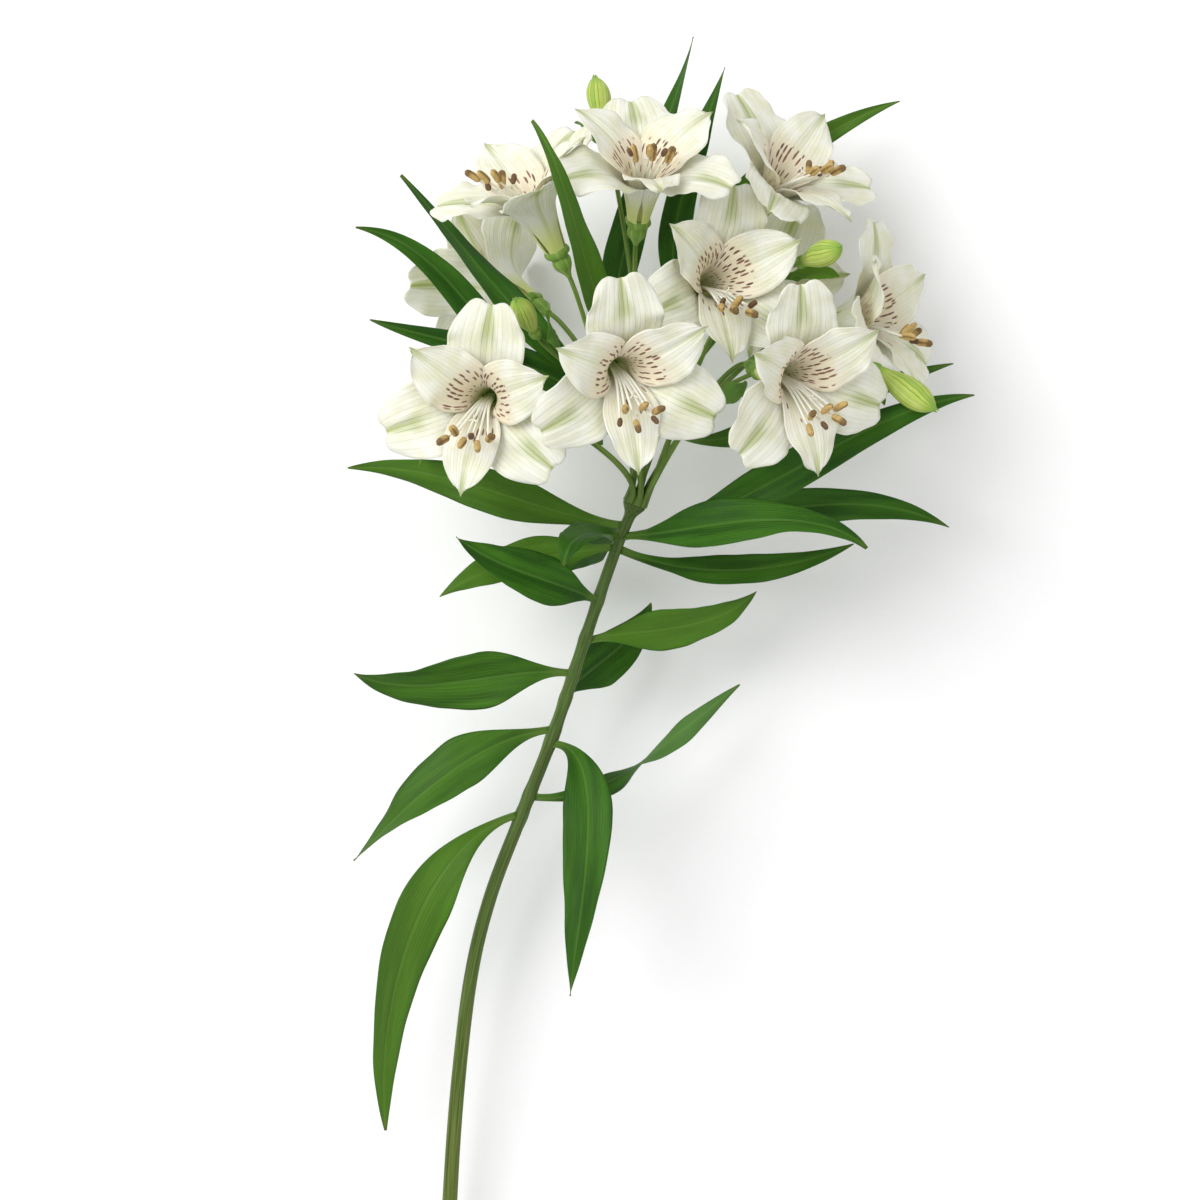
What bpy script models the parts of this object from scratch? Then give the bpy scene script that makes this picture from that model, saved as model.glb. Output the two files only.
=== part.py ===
"""One cut stem of white alstroemeria, laid on its side.

The model is worked out in millimetres around the crown, the point where the rays
of the umbel leave the stem. X runs across, +Y runs from the cut end to the
flowers, and +Z is up, away from the surface that the stem lies on. An empty then
puts the crown where the origin is the middle of the footprint.
"""

from collections import namedtuple
from math import cos, exp, pi, radians, sin, sqrt

import bpy
import bmesh
from mathutils import Matrix, Vector

MM = 0.001

# Fits and thicknesses, in millimetres
GAP = 0.3
LEAF_SEAT = 0.5
BLADE_THICKNESS = 0.7
CROWN_HEIGHT = 62.0
CROWN_FROM_ORIGIN = (-8.0, 85.2, CROWN_HEIGHT)

# Main stem: its route seen from above, from the cut end to the crown
STEM_ROUTE = [
    (-70, -330), (-67, -290), (-65, -247), (-62, -206), (-57, -165), (-50, -136),
    (-39, -107), (-28, -79), (-17, -46), (-7, -17), (0, 0),
]
STEM_RADIUS_CUT = 2.9
STEM_RADIUS_CROWN = 1.9
STEM_POINTS = 20
STEM_ROUNDNESS = 2
KNOB_RADIUS = 4.6
KNOB_RIM = 1.2
KNOB_LENGTH = 5.0
KNOB_SIDES = 10

# Rays, pedicels and ovaries
RAY_RADIUS = 1.0
PEDICEL_RADIUS = 0.8
RAY_RING = 3.3
RAY_FOOT = 2.0
RAY_POINTS = 7
RAY_PULL = 0.7
RAY_ROUNDNESS = 1
PEDICEL_POINTS = 5
OVARY_SIDES = 6
OVARY_SINK = 1.0
OVARY_RADIUS = 3.4
OVARY_LENGTH = 8.0
BUD_OVARY_RADIUS = 2.3
BUD_OVARY_LENGTH = 5.0

# Flower: heights are measured along its axis from the bottom of its receptacle
RECEPTACLE_RADIUS = 4.4
RECEPTACLE_HEIGHT = 3.2
RECEPTACLE_SIDES = 8
FACE_DEPTH = 29.0
TEPAL_ROWS = 5
TEPAL_START = 1.0
TEPAL_OVERRUN = 1.1
CURVE_STEPS = 60
FLARE_SPEED = 10.0
LIMB_FLATTENS = 3.0

# Half widths, whorl radius and length in millimetres, flare angles in degrees
OUTER_TEPAL = {
    "length": 46.0, "ring": 3.3, "claw": 3.1, "width": 13.0, "tip": 7.6, "widest": 0.70,
    "flare": (9.0, 80.0), "turn": 0.50, "ease": 1.40, "round": 0.8, "notch": 2.4, "point": 0.0,
}
INNER_TEPAL = {
    "length": 47.5, "ring": 2.1, "claw": 1.6, "width": 10.8, "tip": 2.6, "widest": 0.62,
    "flare": (7.0, 68.0), "turn": 0.55, "ease": 2.30, "round": 0.6, "notch": 0.0, "point": 2.2,
}
LOWER_TEPAL = dict(INNER_TEPAL, width=9.2, flare=(8.0, 74.0), turn=0.52)
# Angle round the flower, from its right-hand side, and the columns of faces
TEPALS = [
    (90.0, OUTER_TEPAL, 4), (210.0, OUTER_TEPAL, 4), (330.0, OUTER_TEPAL, 4),
    (30.0, INNER_TEPAL, 2), (150.0, INNER_TEPAL, 2), (270.0, LOWER_TEPAL, 2),
]

# Stamens and style
PLUG_RADIUS = 1.35
PLUG_LENGTH = 2.6
PLUG_SIDES = 6
FILAMENT_RADIUS = 0.45
FILAMENT_REACH = (37.0, 34.0)
FILAMENT_DROOP = (12.0, 10.0)
FILAMENT_POINTS = 4
ANTHER_RADIUS = 1.2
ANTHER_LENGTH = 5.0
STAMEN_SIDES = [-2.5, -1.5, -0.5, 0.5, 1.5, 2.5]
STYLE_REACH = 30.0

# Buds
BUD_RADIUS = 4.5
BUD_LENGTH = 22.0
BUD_SIDES = 8

# Leaves
LEAF_ROWS = 8
LEAF_COLUMNS = 2
LEAF_FOLD = 0.22
LEAF_WAVE = 0.5
LEAF_BASE_HALF = 1.3
LEAF_TIP_HALF = 0.4
LEAF_WIDEST = 0.42
LEAF_SWELL = 1.2
LEAF_TAPER = 1.35

# A flower: middle of its face, the way it looks, roll in degrees, how far open.
# One that rests is lowered until its lowest tepal touches the surface.
Flower = namedtuple("Flower", "face look roll opening rests")
FLOWERS = {
    "front": Flower((-2, 38, 60), (0.28, -0.30, 0.92), 8, 1.00, False),
    "left": Flower((-52, 31, 45), (-0.16, -0.16, 0.97), -12, 0.98, False),
    "right": Flower((56, 38, 44), (0.52, -0.22, 0.82), 14, 1.01, False),
    "middle": Flower((30, 74, 23), (0.42, 0.08, 0.88), -6, 0.94, False),
    "top": Flower((3, 114, 30), (0.08, 0.72, 0.68), 0, 0.91, False),
    "upper_right": Flower((53, 115, -3), (0.50, 0.62, 0.60), 12, 0.95, False),
    "far_right": Flower((86, 66, -12), (0.85, 0.20, 0.45), 0, 0.90, False),
    "upper_left": Flower((-38, 106, 20), (-0.42, 0.80, 0.42), 0, 0.86, False),
    "rest_left": Flower((-52, 80, 0), (-0.62, 0.40, -0.68), 20, 0.93, True),
    "rest_right": Flower((48, 78, 0), (0.45, 0.35, -0.82), 31, 0.97, True),
}

# A bud, named after the ray that it stands on: tip, the way it points, size
Bud = namedtuple("Bud", "tip way size")
BUDS = {
    "front": Bud((-40, 66, 36), (-0.35, 0.55, 0.70), 0.75),
    "left": Bud((-84, 28, 10), (-0.85, 0.00, 0.20), 0.95),
    "right": Bud((40, 14, 28), (0.10, -0.75, 0.55), 1.0),
    "upper_right": Bud((68, 84, 26), (0.55, 0.15, 0.75), 0.9),
    "far_right": Bud((100, 30, 22), (0.75, -0.55, 0.30), 1.1),
    "top": Bud((-14, 147, -14), (-0.20, 0.95, -0.10), 0.8),
}

# A ray, named after the flower that it ends in: slot round the crown in degrees, or
# None for the middle, the share of the ray where it forks, and what stands on the
# fork, a bud or another flower
Ray = namedtuple("Ray", "slot fork second")
RAYS = {
    "rest_right": Ray(350, None, None),
    "right": Ray(35, 0.45, "bud"),
    "front": Ray(80, 0.50, "bud"),
    "left": Ray(125, 0.50, "bud"),
    "top": Ray(170, 0.60, "bud"),
    "rest_left": Ray(215, 0.45, "upper_left"),
    "upper_right": Ray(260, 0.30, "bud"),
    "far_right": Ray(305, 0.55, "bud"),
    "middle": Ray(None, None, None),
}

# A leaf: what it grows from, how far from the crown, the way it leaves, its tip, the
# way it arrives there, half width, the way its face looks, twist in degrees
Leaf = namedtuple("Leaf", "host distance leave tip arrive half face twist")
LEAVES = {
    "whorl_1": Leaf(
        "stem", 12, (0.95, 0.1, 0.25), (114, 36, 8), (0.9, 0.1, -0.3), 6.5, (0, 0.3, 1), 30
    ),
    "whorl_2": Leaf(
        "stem", 12, (0.7, 0.0, 0.7), (76, -16, 30), (0.7, -0.6, -0.3), 8, (0, 0.2, 1), -35
    ),
    "whorl_3": Leaf(
        "stem", 17, (0.9, -0.4, 0.0), (74, -14, 0), (0.9, 0.4, 0.1), 5, (0, 0.5, 0.8), 25
    ),
    "whorl_4": Leaf(
        "stem", 12, (0.9, 0.1, -0.4), (108, -8, -16), (0.9, -0.5, -0.1), 7, (0, 0, 1), 30
    ),
    "whorl_5": Leaf(
        "stem", 13, (-0.5, 0.1, 0.8), (-24, -22, 34), (-0.1, -0.9, -0.2), 6.5, (-0.3, 0.2, 0.9), 0
    ),
    "whorl_6": Leaf(
        "stem", 9, (-0.9, 0.1, 0.2), (-98, 12, -6), (-0.9, -0.1, -0.2), 7, (0, 0.2, 1), -40
    ),
    "whorl_7": Leaf(
        "stem", 17, (-0.8, -0.1, 0.1), (-66, -32, 8), (-0.7, -0.5, 0.1), 7, (0.2, 0, 1), 45
    ),
    "whorl_8": Leaf(
        "stem", 12, (-0.2, 0.1, -0.9), (-34, -28, -40), (-0.5, -0.8, -0.2), 7.5, (0.2, 0, 1), 0
    ),
    "bract_1": Leaf(
        "upper_right", 88, (-0.2, 0.9, -0.6), (92, 140, -26), (1.0, 0.3, 0.1), 5, (0, 0, 1), 0
    ),
    "bract_2": Leaf(
        "far_right", 30, (0.5, -0.2, -0.8), (112, 50, -40), (0.9, 0.2, 0), 5, (0, 0, 1), 0
    ),
    "bract_3": Leaf(
        "top", 46, (-0.5, 0.3, 0.8), (-34, 122, 52), (-0.5, 0.8, -0.6), 5, (0.3, 0, 1), 30
    ),
    "bract_4": Leaf(
        "left", 24, (0.0, 1.0, -0.2), (-90, 62, 0), (-0.9, 0.3, 0), 5, (0, 0, 1), 0
    ),
    "bract_5": Leaf(
        "top", 44, (-0.6, 0.7, -0.6), (20, 160, -12), (0.2, 0.9, 0.1), 6, (0, -0.3, 1), -50
    ),
    "bract_6": Leaf(
        "rest_left", 36, (-0.7, 0.5, 0.5), (-80, 112, -8), (-0.6, 0.7, -0.2), 5, (0, 0, 1), 50
    ),
    "bract_7": Leaf(
        "upper_right", 70, (-0.6, 0.5, 0.6), (30, 146, 10), (0.3, 0.9, 0.2), 5, (0.2, 0, 1), -40
    ),
    "bract_8": Leaf(
        "left", 42, (-0.6, 0.6, 0.1), (-94, 92, 12), (-0.9, 0.1, 0.1), 5, (0.2, 0.5, 0.9), -30
    ),
    "leaf_1": Leaf(
        "stem", 108, (1.0, -0.1, 0.2), (36, -62, -14), (0.8, 0.6, 0), 5, (0, 0, 1), 180
    ),
    "leaf_2": Leaf(
        "stem", 50, (0.9, 0.2, -0.2), (42, -30, -20), (0.7, 0.7, 0), 7, (-0.2, 0, 1), 45
    ),
    "leaf_3": Leaf(
        "stem", 63, (-0.9, 0.1, 0.2), (-96, -58, -8), (-0.9, 0.4, 0), 10, (0, 0, 1), -50
    ),
    "leaf_4": Leaf(
        "stem", 84, (-0.9, -0.1, 0.1), (-96, -122, -8), (-0.7, -0.7, 0), 9, (0, 0, 1), 60
    ),
    "leaf_5": Leaf(
        "stem", 116, (-0.8, -0.2, 0.4), (-86, -216, -20), (0.1, -0.9, -0.1), 9, (0, 0, 1), -45
    ),
    "leaf_6": Leaf(
        "stem", 88, (0.7, 0.0, 0.7), (-22, -166, 10), (-0.1, -0.9, -0.1), 8, (0.3, 0, 1), 60
    ),
    "leaf_7": Leaf(
        "stem", 36, (-0.5, 0.3, 0.8), (-60, -12, 16), (-0.7, 0.6, -0.2), 8, (0, 0, 1), 40
    ),
    "leaf_8": Leaf(
        "stem", 72, (0.2, 0.5, -0.8), (6, -34, -44), (0.3, 0.9, 0), 8, (0, 0, 1), 0
    ),
}


def clear_scene():
    """Remove what the scene holds."""
    for item in list(bpy.data.objects):
        bpy.data.objects.remove(item, do_unlink=True)
    for group in list(bpy.data.collections):
        bpy.data.collections.remove(group)


def material(name, colour, roughness):
    """A Principled material with one colour."""
    made = bpy.data.materials.new(name)
    made.use_nodes = True
    shader = made.node_tree.nodes["Principled BSDF"]
    shader.inputs["Base Color"].default_value = (*colour, 1.0)
    shader.inputs["Roughness"].default_value = roughness
    shader.inputs["Metallic"].default_value = 0.0
    return made


def smooth(value):
    """Ease from 0 to 1."""
    value = min(max(value, 0.0), 1.0)
    return value * value * (3.0 - 2.0 * value)


def hermite(start, start_slope, end, end_slope, t):
    """A point on the cubic that leaves start and reaches end with the given slopes."""
    a = 2 * t ** 3 - 3 * t ** 2 + 1
    b = t ** 3 - 2 * t ** 2 + t
    c = -2 * t ** 3 + 3 * t ** 2
    d = t ** 3 - t ** 2
    return start * a + start_slope * b + end * c + end_slope * d


def bend(start, start_way, end, end_way, pull, count):
    """Points of a smooth bend between two places, with the ways it runs at its ends."""
    span = (end - start).length * pull
    first = start_way.normalized() * span
    last = end_way.normalized() * span
    return [hermite(start, first, end, last, i / (count - 1)) for i in range(count)]


def through(points, count):
    """Evenly numbered points on a smooth curve through the given points."""
    made = []
    last = len(points) - 1
    for i in range(count):
        place = i / (count - 1) * last
        k = min(int(place), last - 1)
        before = points[max(k - 1, 0)]
        after = points[min(k + 2, last)]
        slope_a = (points[k + 1] - before) / (2 if k else 1)
        slope_b = (after - points[k]) / (2 if k + 2 <= last else 1)
        made.append(hermite(points[k], slope_a, points[k + 1], slope_b, place - k))
    return made


def mesh_object(name, mesh, group):
    """A new object for a mesh."""
    made = bpy.data.objects.new(name, mesh)
    group.objects.link(made)
    return made


def baked(item, group):
    """A mesh object with the modifiers and curves of an object worked out."""
    bpy.context.view_layer.update()
    graph = bpy.context.evaluated_depsgraph_get()
    mesh = bpy.data.meshes.new_from_object(item.evaluated_get(graph))
    work = bmesh.new()
    work.from_mesh(mesh)
    bmesh.ops.remove_doubles(work, verts=work.verts, dist=0.01 * MM)
    work.to_mesh(mesh)
    work.free()
    made = mesh_object(item.name + "_mesh", mesh, group)
    made.matrix_world = item.matrix_world.copy()
    name = item.name
    bpy.data.objects.remove(item, do_unlink=True)
    made.name = name
    return made


def tube(name, points, radii, group, roundness=RAY_ROUNDNESS):
    """A tube along points in millimetres, with a radius at each."""
    curve = bpy.data.curves.new(name, "CURVE")
    curve.dimensions = "3D"
    curve.bevel_depth = MM
    curve.bevel_resolution = roundness
    curve.use_fill_caps = True
    line = curve.splines.new("POLY")
    line.points.add(len(points) - 1)
    for knot, place, radius in zip(line.points, points, radii):
        knot.co = (*(place * MM), 1.0)
        knot.radius = radius
    made = bpy.data.objects.new(name, curve)
    group.objects.link(made)
    return baked(made, group)


def turned(name, profile, sides, group):
    """A solid turned round Z from a profile of (radius, height), top to bottom."""
    mesh = bpy.data.meshes.new(name)
    corners = [(radius * MM, 0.0, height * MM) for radius, height in profile]
    mesh.from_pydata(corners, [(i, i + 1) for i in range(len(corners) - 1)], [])
    made = mesh_object(name, mesh, group)
    screw = made.modifiers.new("Turn", "SCREW")
    screw.steps = sides
    screw.render_steps = sides
    screw.use_merge_vertices = True
    screw.merge_threshold = 0.00001
    return baked(made, group)


def blade(name, place, rows, columns, group):
    """A thin leaf or petal: place(t, s) gives its middle surface in millimetres."""
    work = bmesh.new()
    bmesh.ops.create_grid(work, x_segments=columns, y_segments=rows, size=1.0)
    for corner in work.verts:
        corner.co = place((corner.co.y + 1.0) / 2.0, corner.co.x) * MM
    bmesh.ops.triangulate(work, faces=work.faces)
    mesh = bpy.data.meshes.new(name)
    work.to_mesh(mesh)
    work.free()
    made = mesh_object(name, mesh, group)
    solidify = made.modifiers.new("Thickness", "SOLIDIFY")
    solidify.thickness = BLADE_THICKNESS * MM
    solidify.offset = 0.0
    return baked(made, group)


def fuse(name, pieces, finish, group):
    """Join closed pieces that cross each other into one body."""
    base = pieces[0]
    cutters = bpy.data.collections.new(name + "_pieces")
    bpy.context.scene.collection.children.link(cutters)
    for item in pieces[1:]:
        cutters.objects.link(item)
        group.objects.unlink(item)
    union = base.modifiers.new("Union", "BOOLEAN")
    union.operation = "UNION"
    union.operand_type = "COLLECTION"
    union.collection = cutters
    union.solver = "EXACT"
    made = baked(base, group)
    for item in list(cutters.objects):
        bpy.data.objects.remove(item, do_unlink=True)
    bpy.data.collections.remove(cutters)
    return finished(made, name, finish)


def finished(item, name, finish):
    """Name an object, give it its material and shade it smooth."""
    item.name = name
    item.data.name = name
    item.data.materials.clear()
    item.data.materials.append(finish)
    item.data.shade_smooth()
    item.data.set_sharp_from_angle(angle=radians(40))
    return item


def facing(look, roll):
    """Turn a flower so that its axis looks one way and its top tepal points up the picture."""
    ahead = Vector(look).normalized()
    up = Vector((0.0, 1.0, 0.0))
    up = (up - ahead * up.dot(ahead)).normalized()
    right = up.cross(ahead)
    frame = Matrix((right, up, ahead)).transposed()
    return frame @ Matrix.Rotation(radians(roll), 3, "Z")


def flare_curve(spec, opening):
    """Table of (radius, height, angle) along a tepal's midrib."""
    first, last = spec["flare"]
    step = spec["length"] * TEPAL_OVERRUN / CURVE_STEPS
    radius, height = spec["ring"], TEPAL_START
    table = []
    for i in range(CURVE_STEPS + 1):
        t = TEPAL_OVERRUN * i / CURVE_STEPS
        share = 1 / (1 + exp(-FLARE_SPEED * (t - spec["turn"])))
        angle = radians(first + (last * opening - first) * share)
        table.append((radius, height, angle))
        radius += sin(angle) * step
        height += cos(angle) * step
    return table


def half_width(spec, t):
    """Half the width of a tepal at a share t of its length."""
    if t < spec["widest"]:
        return spec["claw"] + (spec["width"] - spec["claw"]) * smooth(t / spec["widest"]) ** spec["ease"]
    past = (t - spec["widest"]) / (1 - spec["widest"])
    falling = max(1 - past * past, 0.0) ** spec["round"]
    return spec["tip"] + (spec["width"] - spec["tip"]) * falling


def tepal_place(spec, opening):
    """The function that gives points on a tepal which stands at +X of the flower's axis."""
    table = flare_curve(spec, opening)

    def place(t, s):
        end = smooth((t - 0.75) / 0.25)
        edge = abs(s)
        shift = spec["notch"] * 4 * edge * (1 - edge) + spec["point"] * (1 - edge)
        reach = (t + end * shift / spec["length"]) / TEPAL_OVERRUN * CURVE_STEPS
        k = min(int(reach), CURVE_STEPS - 1)
        share = reach - k
        radius, height, angle = (
            a + (b - a) * share for a, b in zip(table[k], table[k + 1])
        )
        hollow = radius * (1 + LIMB_FLATTENS * smooth((t - 0.35) / 0.4))
        turn = half_width(spec, t) * s / hollow
        lift = hollow * (1 - cos(turn))
        return Vector((
            radius - cos(angle) * lift, hollow * sin(turn), height + sin(angle) * lift,
        ))

    return place


def add_bloom(name, opening, group, finish):
    """Six tepals in two whorls, grown together at the receptacle."""
    profile = [
        (0, RECEPTACLE_HEIGHT), (RECEPTACLE_RADIUS * 0.9, RECEPTACLE_HEIGHT),
        (RECEPTACLE_RADIUS, RECEPTACLE_HEIGHT * 0.5), (RECEPTACLE_RADIUS * 0.8, 0), (0, 0),
    ]
    pieces = [turned(name + "_receptacle", profile, RECEPTACLE_SIDES, group)]
    for index, (angle, spec, columns) in enumerate(TEPALS):
        place = tepal_place(spec, opening)
        piece = blade(f"{name}_tepal_{index}", place, TEPAL_ROWS, columns, group)
        piece.rotation_euler = (0.0, 0.0, radians(angle))
        pieces.append(piece)
    return fuse("bloom_" + name, pieces, finish, group)


def add_stamens(name, group, finish):
    """Six stamens and a style that lean to the lower side of the throat."""
    floor = RECEPTACLE_HEIGHT + GAP
    top = floor + PLUG_LENGTH
    profile = [(0, top), (PLUG_RADIUS, top), (PLUG_RADIUS, floor), (0, floor)]
    pieces = [turned(name + "_plug", profile, PLUG_SIDES, group)]
    for index, side in enumerate(STAMEN_SIDES):
        odd = index % 2
        points = through([
            Vector((side * 0.28, 0.25 - 0.5 * odd, floor + 1.0)),
            Vector((side * 1.0, -2.6, 20)),
            Vector((side * 2.6, -FILAMENT_DROOP[odd], FILAMENT_REACH[odd])),
        ], FILAMENT_POINTS)
        lean = Vector((side * 0.15, 0.5 if odd else -0.3, 0.8)).normalized()
        points += [points[-1] + lean * 0.8, points[-1] + lean * ANTHER_LENGTH]
        radii = [FILAMENT_RADIUS] * FILAMENT_POINTS + [ANTHER_RADIUS, ANTHER_RADIUS * 0.7]
        pieces.append(tube(f"{name}_stamen_{index}", points, radii, group, 0))
    style = through([
        Vector((0, 0, floor + 1.0)), Vector((0, -1, 14)), Vector((0, -5, STYLE_REACH)),
    ], 3)
    pieces.append(tube(name + "_style", style, [FILAMENT_RADIUS] * 3, group, 0))
    return fuse("stamens_" + name, pieces, finish, group)


def add_bud(name, size, group, finish):
    """A closed flower: narrow at its foot and fullest near its pointed tip."""
    length = BUD_LENGTH * size
    radius = BUD_RADIUS * sqrt(size)
    profile = [
        (0, length), (radius * 0.38, length * 0.94), (radius * 0.81, length * 0.8),
        (radius, length * 0.58), (radius * 0.81, length * 0.3), (radius * 0.45, 0), (0, 0),
    ]
    return finished(turned("bud_" + name, profile, BUD_SIDES, group), "bud_" + name, finish)


def along(points, distance):
    """The place and the direction at a distance along a line of points."""
    for here, after in zip(points, points[1:]):
        step = after - here
        if distance <= step.length:
            break
        distance -= step.length
    return here + step.normalized() * distance, step.normalized()


def length_of(points):
    """The length of a line of points."""
    return sum((after - here).length for here, after in zip(points, points[1:]))


def upright(way):
    """Turn +Z into the given direction."""
    return way.to_track_quat("Z", "Y").to_matrix()


def stem_points():
    """The middle line of the stem, rising from the cut end on the surface to the crown."""
    first = STEM_RADIUS_CUT - CROWN_HEIGHT
    low, high = STEM_ROUTE[0][1], STEM_ROUTE[-1][1]
    knots = [Vector((x, y, first * (high - y) / (high - low))) for x, y in STEM_ROUTE]
    return through(knots, STEM_POINTS)


def add_stem(points, group, finish):
    """The stem with the swollen knob that carries the rays."""
    count = len(points)
    radii = [
        STEM_RADIUS_CUT + (STEM_RADIUS_CROWN - STEM_RADIUS_CUT) * i / (count - 1)
        for i in range(count)
    ]
    shaft = tube("stem_shaft", points, radii, group, STEM_ROUNDNESS)
    profile = [
        (0, 0), (KNOB_RADIUS, 0), (KNOB_RADIUS, -KNOB_RIM),
        (STEM_RADIUS_CROWN, -KNOB_LENGTH), (0, -KNOB_LENGTH),
    ]
    knob = turned("stem_knob", profile, KNOB_SIDES, group)
    way = (points[-1] - points[-2]).normalized()
    knob.matrix_world = Matrix.Translation(points[-1] * MM) @ upright(way).to_4x4()
    return fuse("stem", [shaft, knob], finish, group)


def ovary(name, base, way, radius, length, group):
    """The green ovary under a flower or a bud, whose top is at base."""
    profile = [
        (0, 0), (radius * 0.85, 0), (radius, -length * 0.3),
        (radius * 0.3, -length), (0, -length),
    ]
    made = turned(name, profile, OVARY_SIDES, group)
    made.matrix_world = Matrix.Translation(base * MM) @ upright(way).to_4x4()
    return made


def ray_start(slot, crown_way):
    """Where a ray stands on the knob."""
    right = (Vector((1, 0, 0)) - crown_way * crown_way.x).normalized()
    front = right.cross(crown_way)
    start = crown_way * GAP
    if slot is not None:
        start += (right * cos(radians(slot)) + front * sin(radians(slot))) * RAY_RING
    return start


def add_ray(name, crown_way, seats, group, finish):
    """A ray with the ovary it ends in, and the pedicel and ovary on its fork."""
    ray = RAYS[name]
    base, look = seats[name]
    foot = base - look * (GAP + OVARY_LENGTH - OVARY_SINK)
    start = ray_start(ray.slot, crown_way)
    points = [start]
    points += bend(start + crown_way * RAY_FOOT, crown_way, foot, look, RAY_PULL, RAY_POINTS)
    radii = [RAY_RADIUS] * (len(points) - 3) + [PEDICEL_RADIUS * 1.1] * 3
    pieces = [
        tube(name + "_line", points, radii, group),
        ovary(name + "_ovary", base - look * GAP, look, OVARY_RADIUS, OVARY_LENGTH, group),
    ]
    if ray.second:
        seat, radius, length = ray.second, OVARY_RADIUS, OVARY_LENGTH
        if ray.second == "bud":
            seat, radius, length = "bud_" + name, BUD_OVARY_RADIUS, BUD_OVARY_LENGTH
        base, way = seats[seat]
        start, heading = along(points, ray.fork * length_of(points))
        foot = base - way * (GAP + length - OVARY_SINK)
        line = bend(start, heading, foot, way, RAY_PULL, PEDICEL_POINTS)
        pieces.append(tube(name + "_pedicel", line, [PEDICEL_RADIUS] * PEDICEL_POINTS, group))
        pieces.append(ovary(name + "_second_ovary", base - way * GAP, way, radius, length, group))
    fuse("ray_" + name, pieces, finish, group)
    return points


def leaf_breadth(t):
    """The share of its breadth that a leaf has at a share t of its length."""
    if t < LEAF_WIDEST:
        return smooth(t / LEAF_WIDEST) ** LEAF_SWELL
    return cos(pi / 2 * (t - LEAF_WIDEST) / (1 - LEAF_WIDEST)) ** LEAF_TAPER


def leaf_place(leaf, start):
    """The function that gives points on a leaf that starts at a place."""
    tip = Vector(leaf.tip)
    face = Vector(leaf.face)
    span = (tip - start).length
    leave = Vector(leaf.leave).normalized() * span
    arrive = Vector(leaf.arrive).normalized() * span

    def place(t, s):
        here = hermite(start, leave, tip, arrive, t)
        after = hermite(start, leave, tip, arrive, t + 0.01)
        before = hermite(start, leave, tip, arrive, t - 0.01)
        ahead = (after - before).normalized()
        turned_face = Matrix.Rotation(radians(leaf.twist * smooth(t)), 3, ahead) @ face
        side = ahead.cross(turned_face).normalized()
        out = side.cross(ahead)
        width = LEAF_BASE_HALF * (1 - t) + LEAF_TIP_HALF * t
        width += leaf.half * leaf_breadth(t)
        wave = LEAF_WAVE * sin(9.0 * t + leaf.half) * s
        return here + side * width * s + out * (LEAF_FOLD * width * abs(s) + wave)

    return place


def add_leaf(name, lines, group, finish):
    """A leaf that leaves its stem or ray with a small clearance."""
    leaf = LEAVES[name]
    line = lines[leaf.host]
    centre, heading = along(line, leaf.distance)
    leave = Vector(leaf.leave).normalized()
    outward = (leave - heading * leave.dot(heading)).normalized()
    radius = RAY_RADIUS
    if leaf.host == "stem":
        share = leaf.distance / length_of(line)
        radius = STEM_RADIUS_CROWN + (STEM_RADIUS_CUT - STEM_RADIUS_CROWN) * share
    start = centre + outward * (radius + LEAF_SEAT + BLADE_THICKNESS / 2)
    made = blade(name, leaf_place(leaf, start), LEAF_ROWS, LEAF_COLUMNS, group)
    return finished(made, name, finish)


def add_flower(name, materials, group):
    """A bloom and its stamens, and the seat and the way of the flower."""
    flower = FLOWERS[name]
    turn = facing(flower.look, flower.roll)
    look = Vector(flower.look).normalized()
    bloom = add_bloom(name, flower.opening, group, materials["petal"])
    stamens = add_stamens(name, group, materials["stamen"])
    base = Vector(flower.face) - look * FACE_DEPTH
    if flower.rests:
        lowest = min((turn @ corner.co).z for corner in bloom.data.vertices) / MM
        base.z = -CROWN_HEIGHT - lowest
    for item in (bloom, stamens):
        item.matrix_world = Matrix.Translation(base * MM) @ turn.to_4x4()
    return base, look


def build():
    """Model the whole stem."""
    clear_scene()
    group = bpy.data.collections.new("alstroemeria_stem")
    bpy.context.scene.collection.children.link(group)
    materials = {
        "petal": material("petal_white", (0.86, 0.86, 0.78), 0.5),
        "stamen": material("stamen_cream", (0.72, 0.62, 0.35), 0.6),
        "bud": material("bud_green", (0.50, 0.62, 0.22), 0.5),
        "stem": material("stem_green", (0.25, 0.36, 0.12), 0.5),
        "leaf": material("leaf_green", (0.10, 0.28, 0.06), 0.45),
    }
    line = stem_points()
    crown_way = (line[-1] - line[-2]).normalized()
    lines = {"stem": line[::-1]}
    add_stem(line, group, materials["stem"])
    seats = {name: add_flower(name, materials, group) for name in FLOWERS}
    for name, bud in BUDS.items():
        way = Vector(bud.way).normalized()
        base = Vector(bud.tip) - way * BUD_LENGTH * bud.size
        made = add_bud(name, bud.size, group, materials["bud"])
        made.matrix_world = Matrix.Translation(base * MM) @ upright(way).to_4x4()
        seats["bud_" + name] = (base, way)
    for name in RAYS:
        lines[name] = add_ray(name, crown_way, seats, group, materials["stem"])
    for name in LEAVES:
        add_leaf(name, lines, group, materials["leaf"])
    crown = bpy.data.objects.new("crown", None)
    for item in list(group.objects):
        item.parent = crown
    group.objects.link(crown)
    crown.location = Vector(CROWN_FROM_ORIGIN) * MM


build()
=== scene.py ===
"""The looks of one cut stem of white alstroemeria, laid on its side.

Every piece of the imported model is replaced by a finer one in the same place. Lengths
are in millimetres around the crown, the point where the rays of the flower head leave
the stem. X runs across, +Y from the cut end to the flowers, +Z up.
"""

from collections import namedtuple
from math import cos, pi, radians, sin

import bpy
import numpy as np
from mathutils import Matrix, Vector

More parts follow.
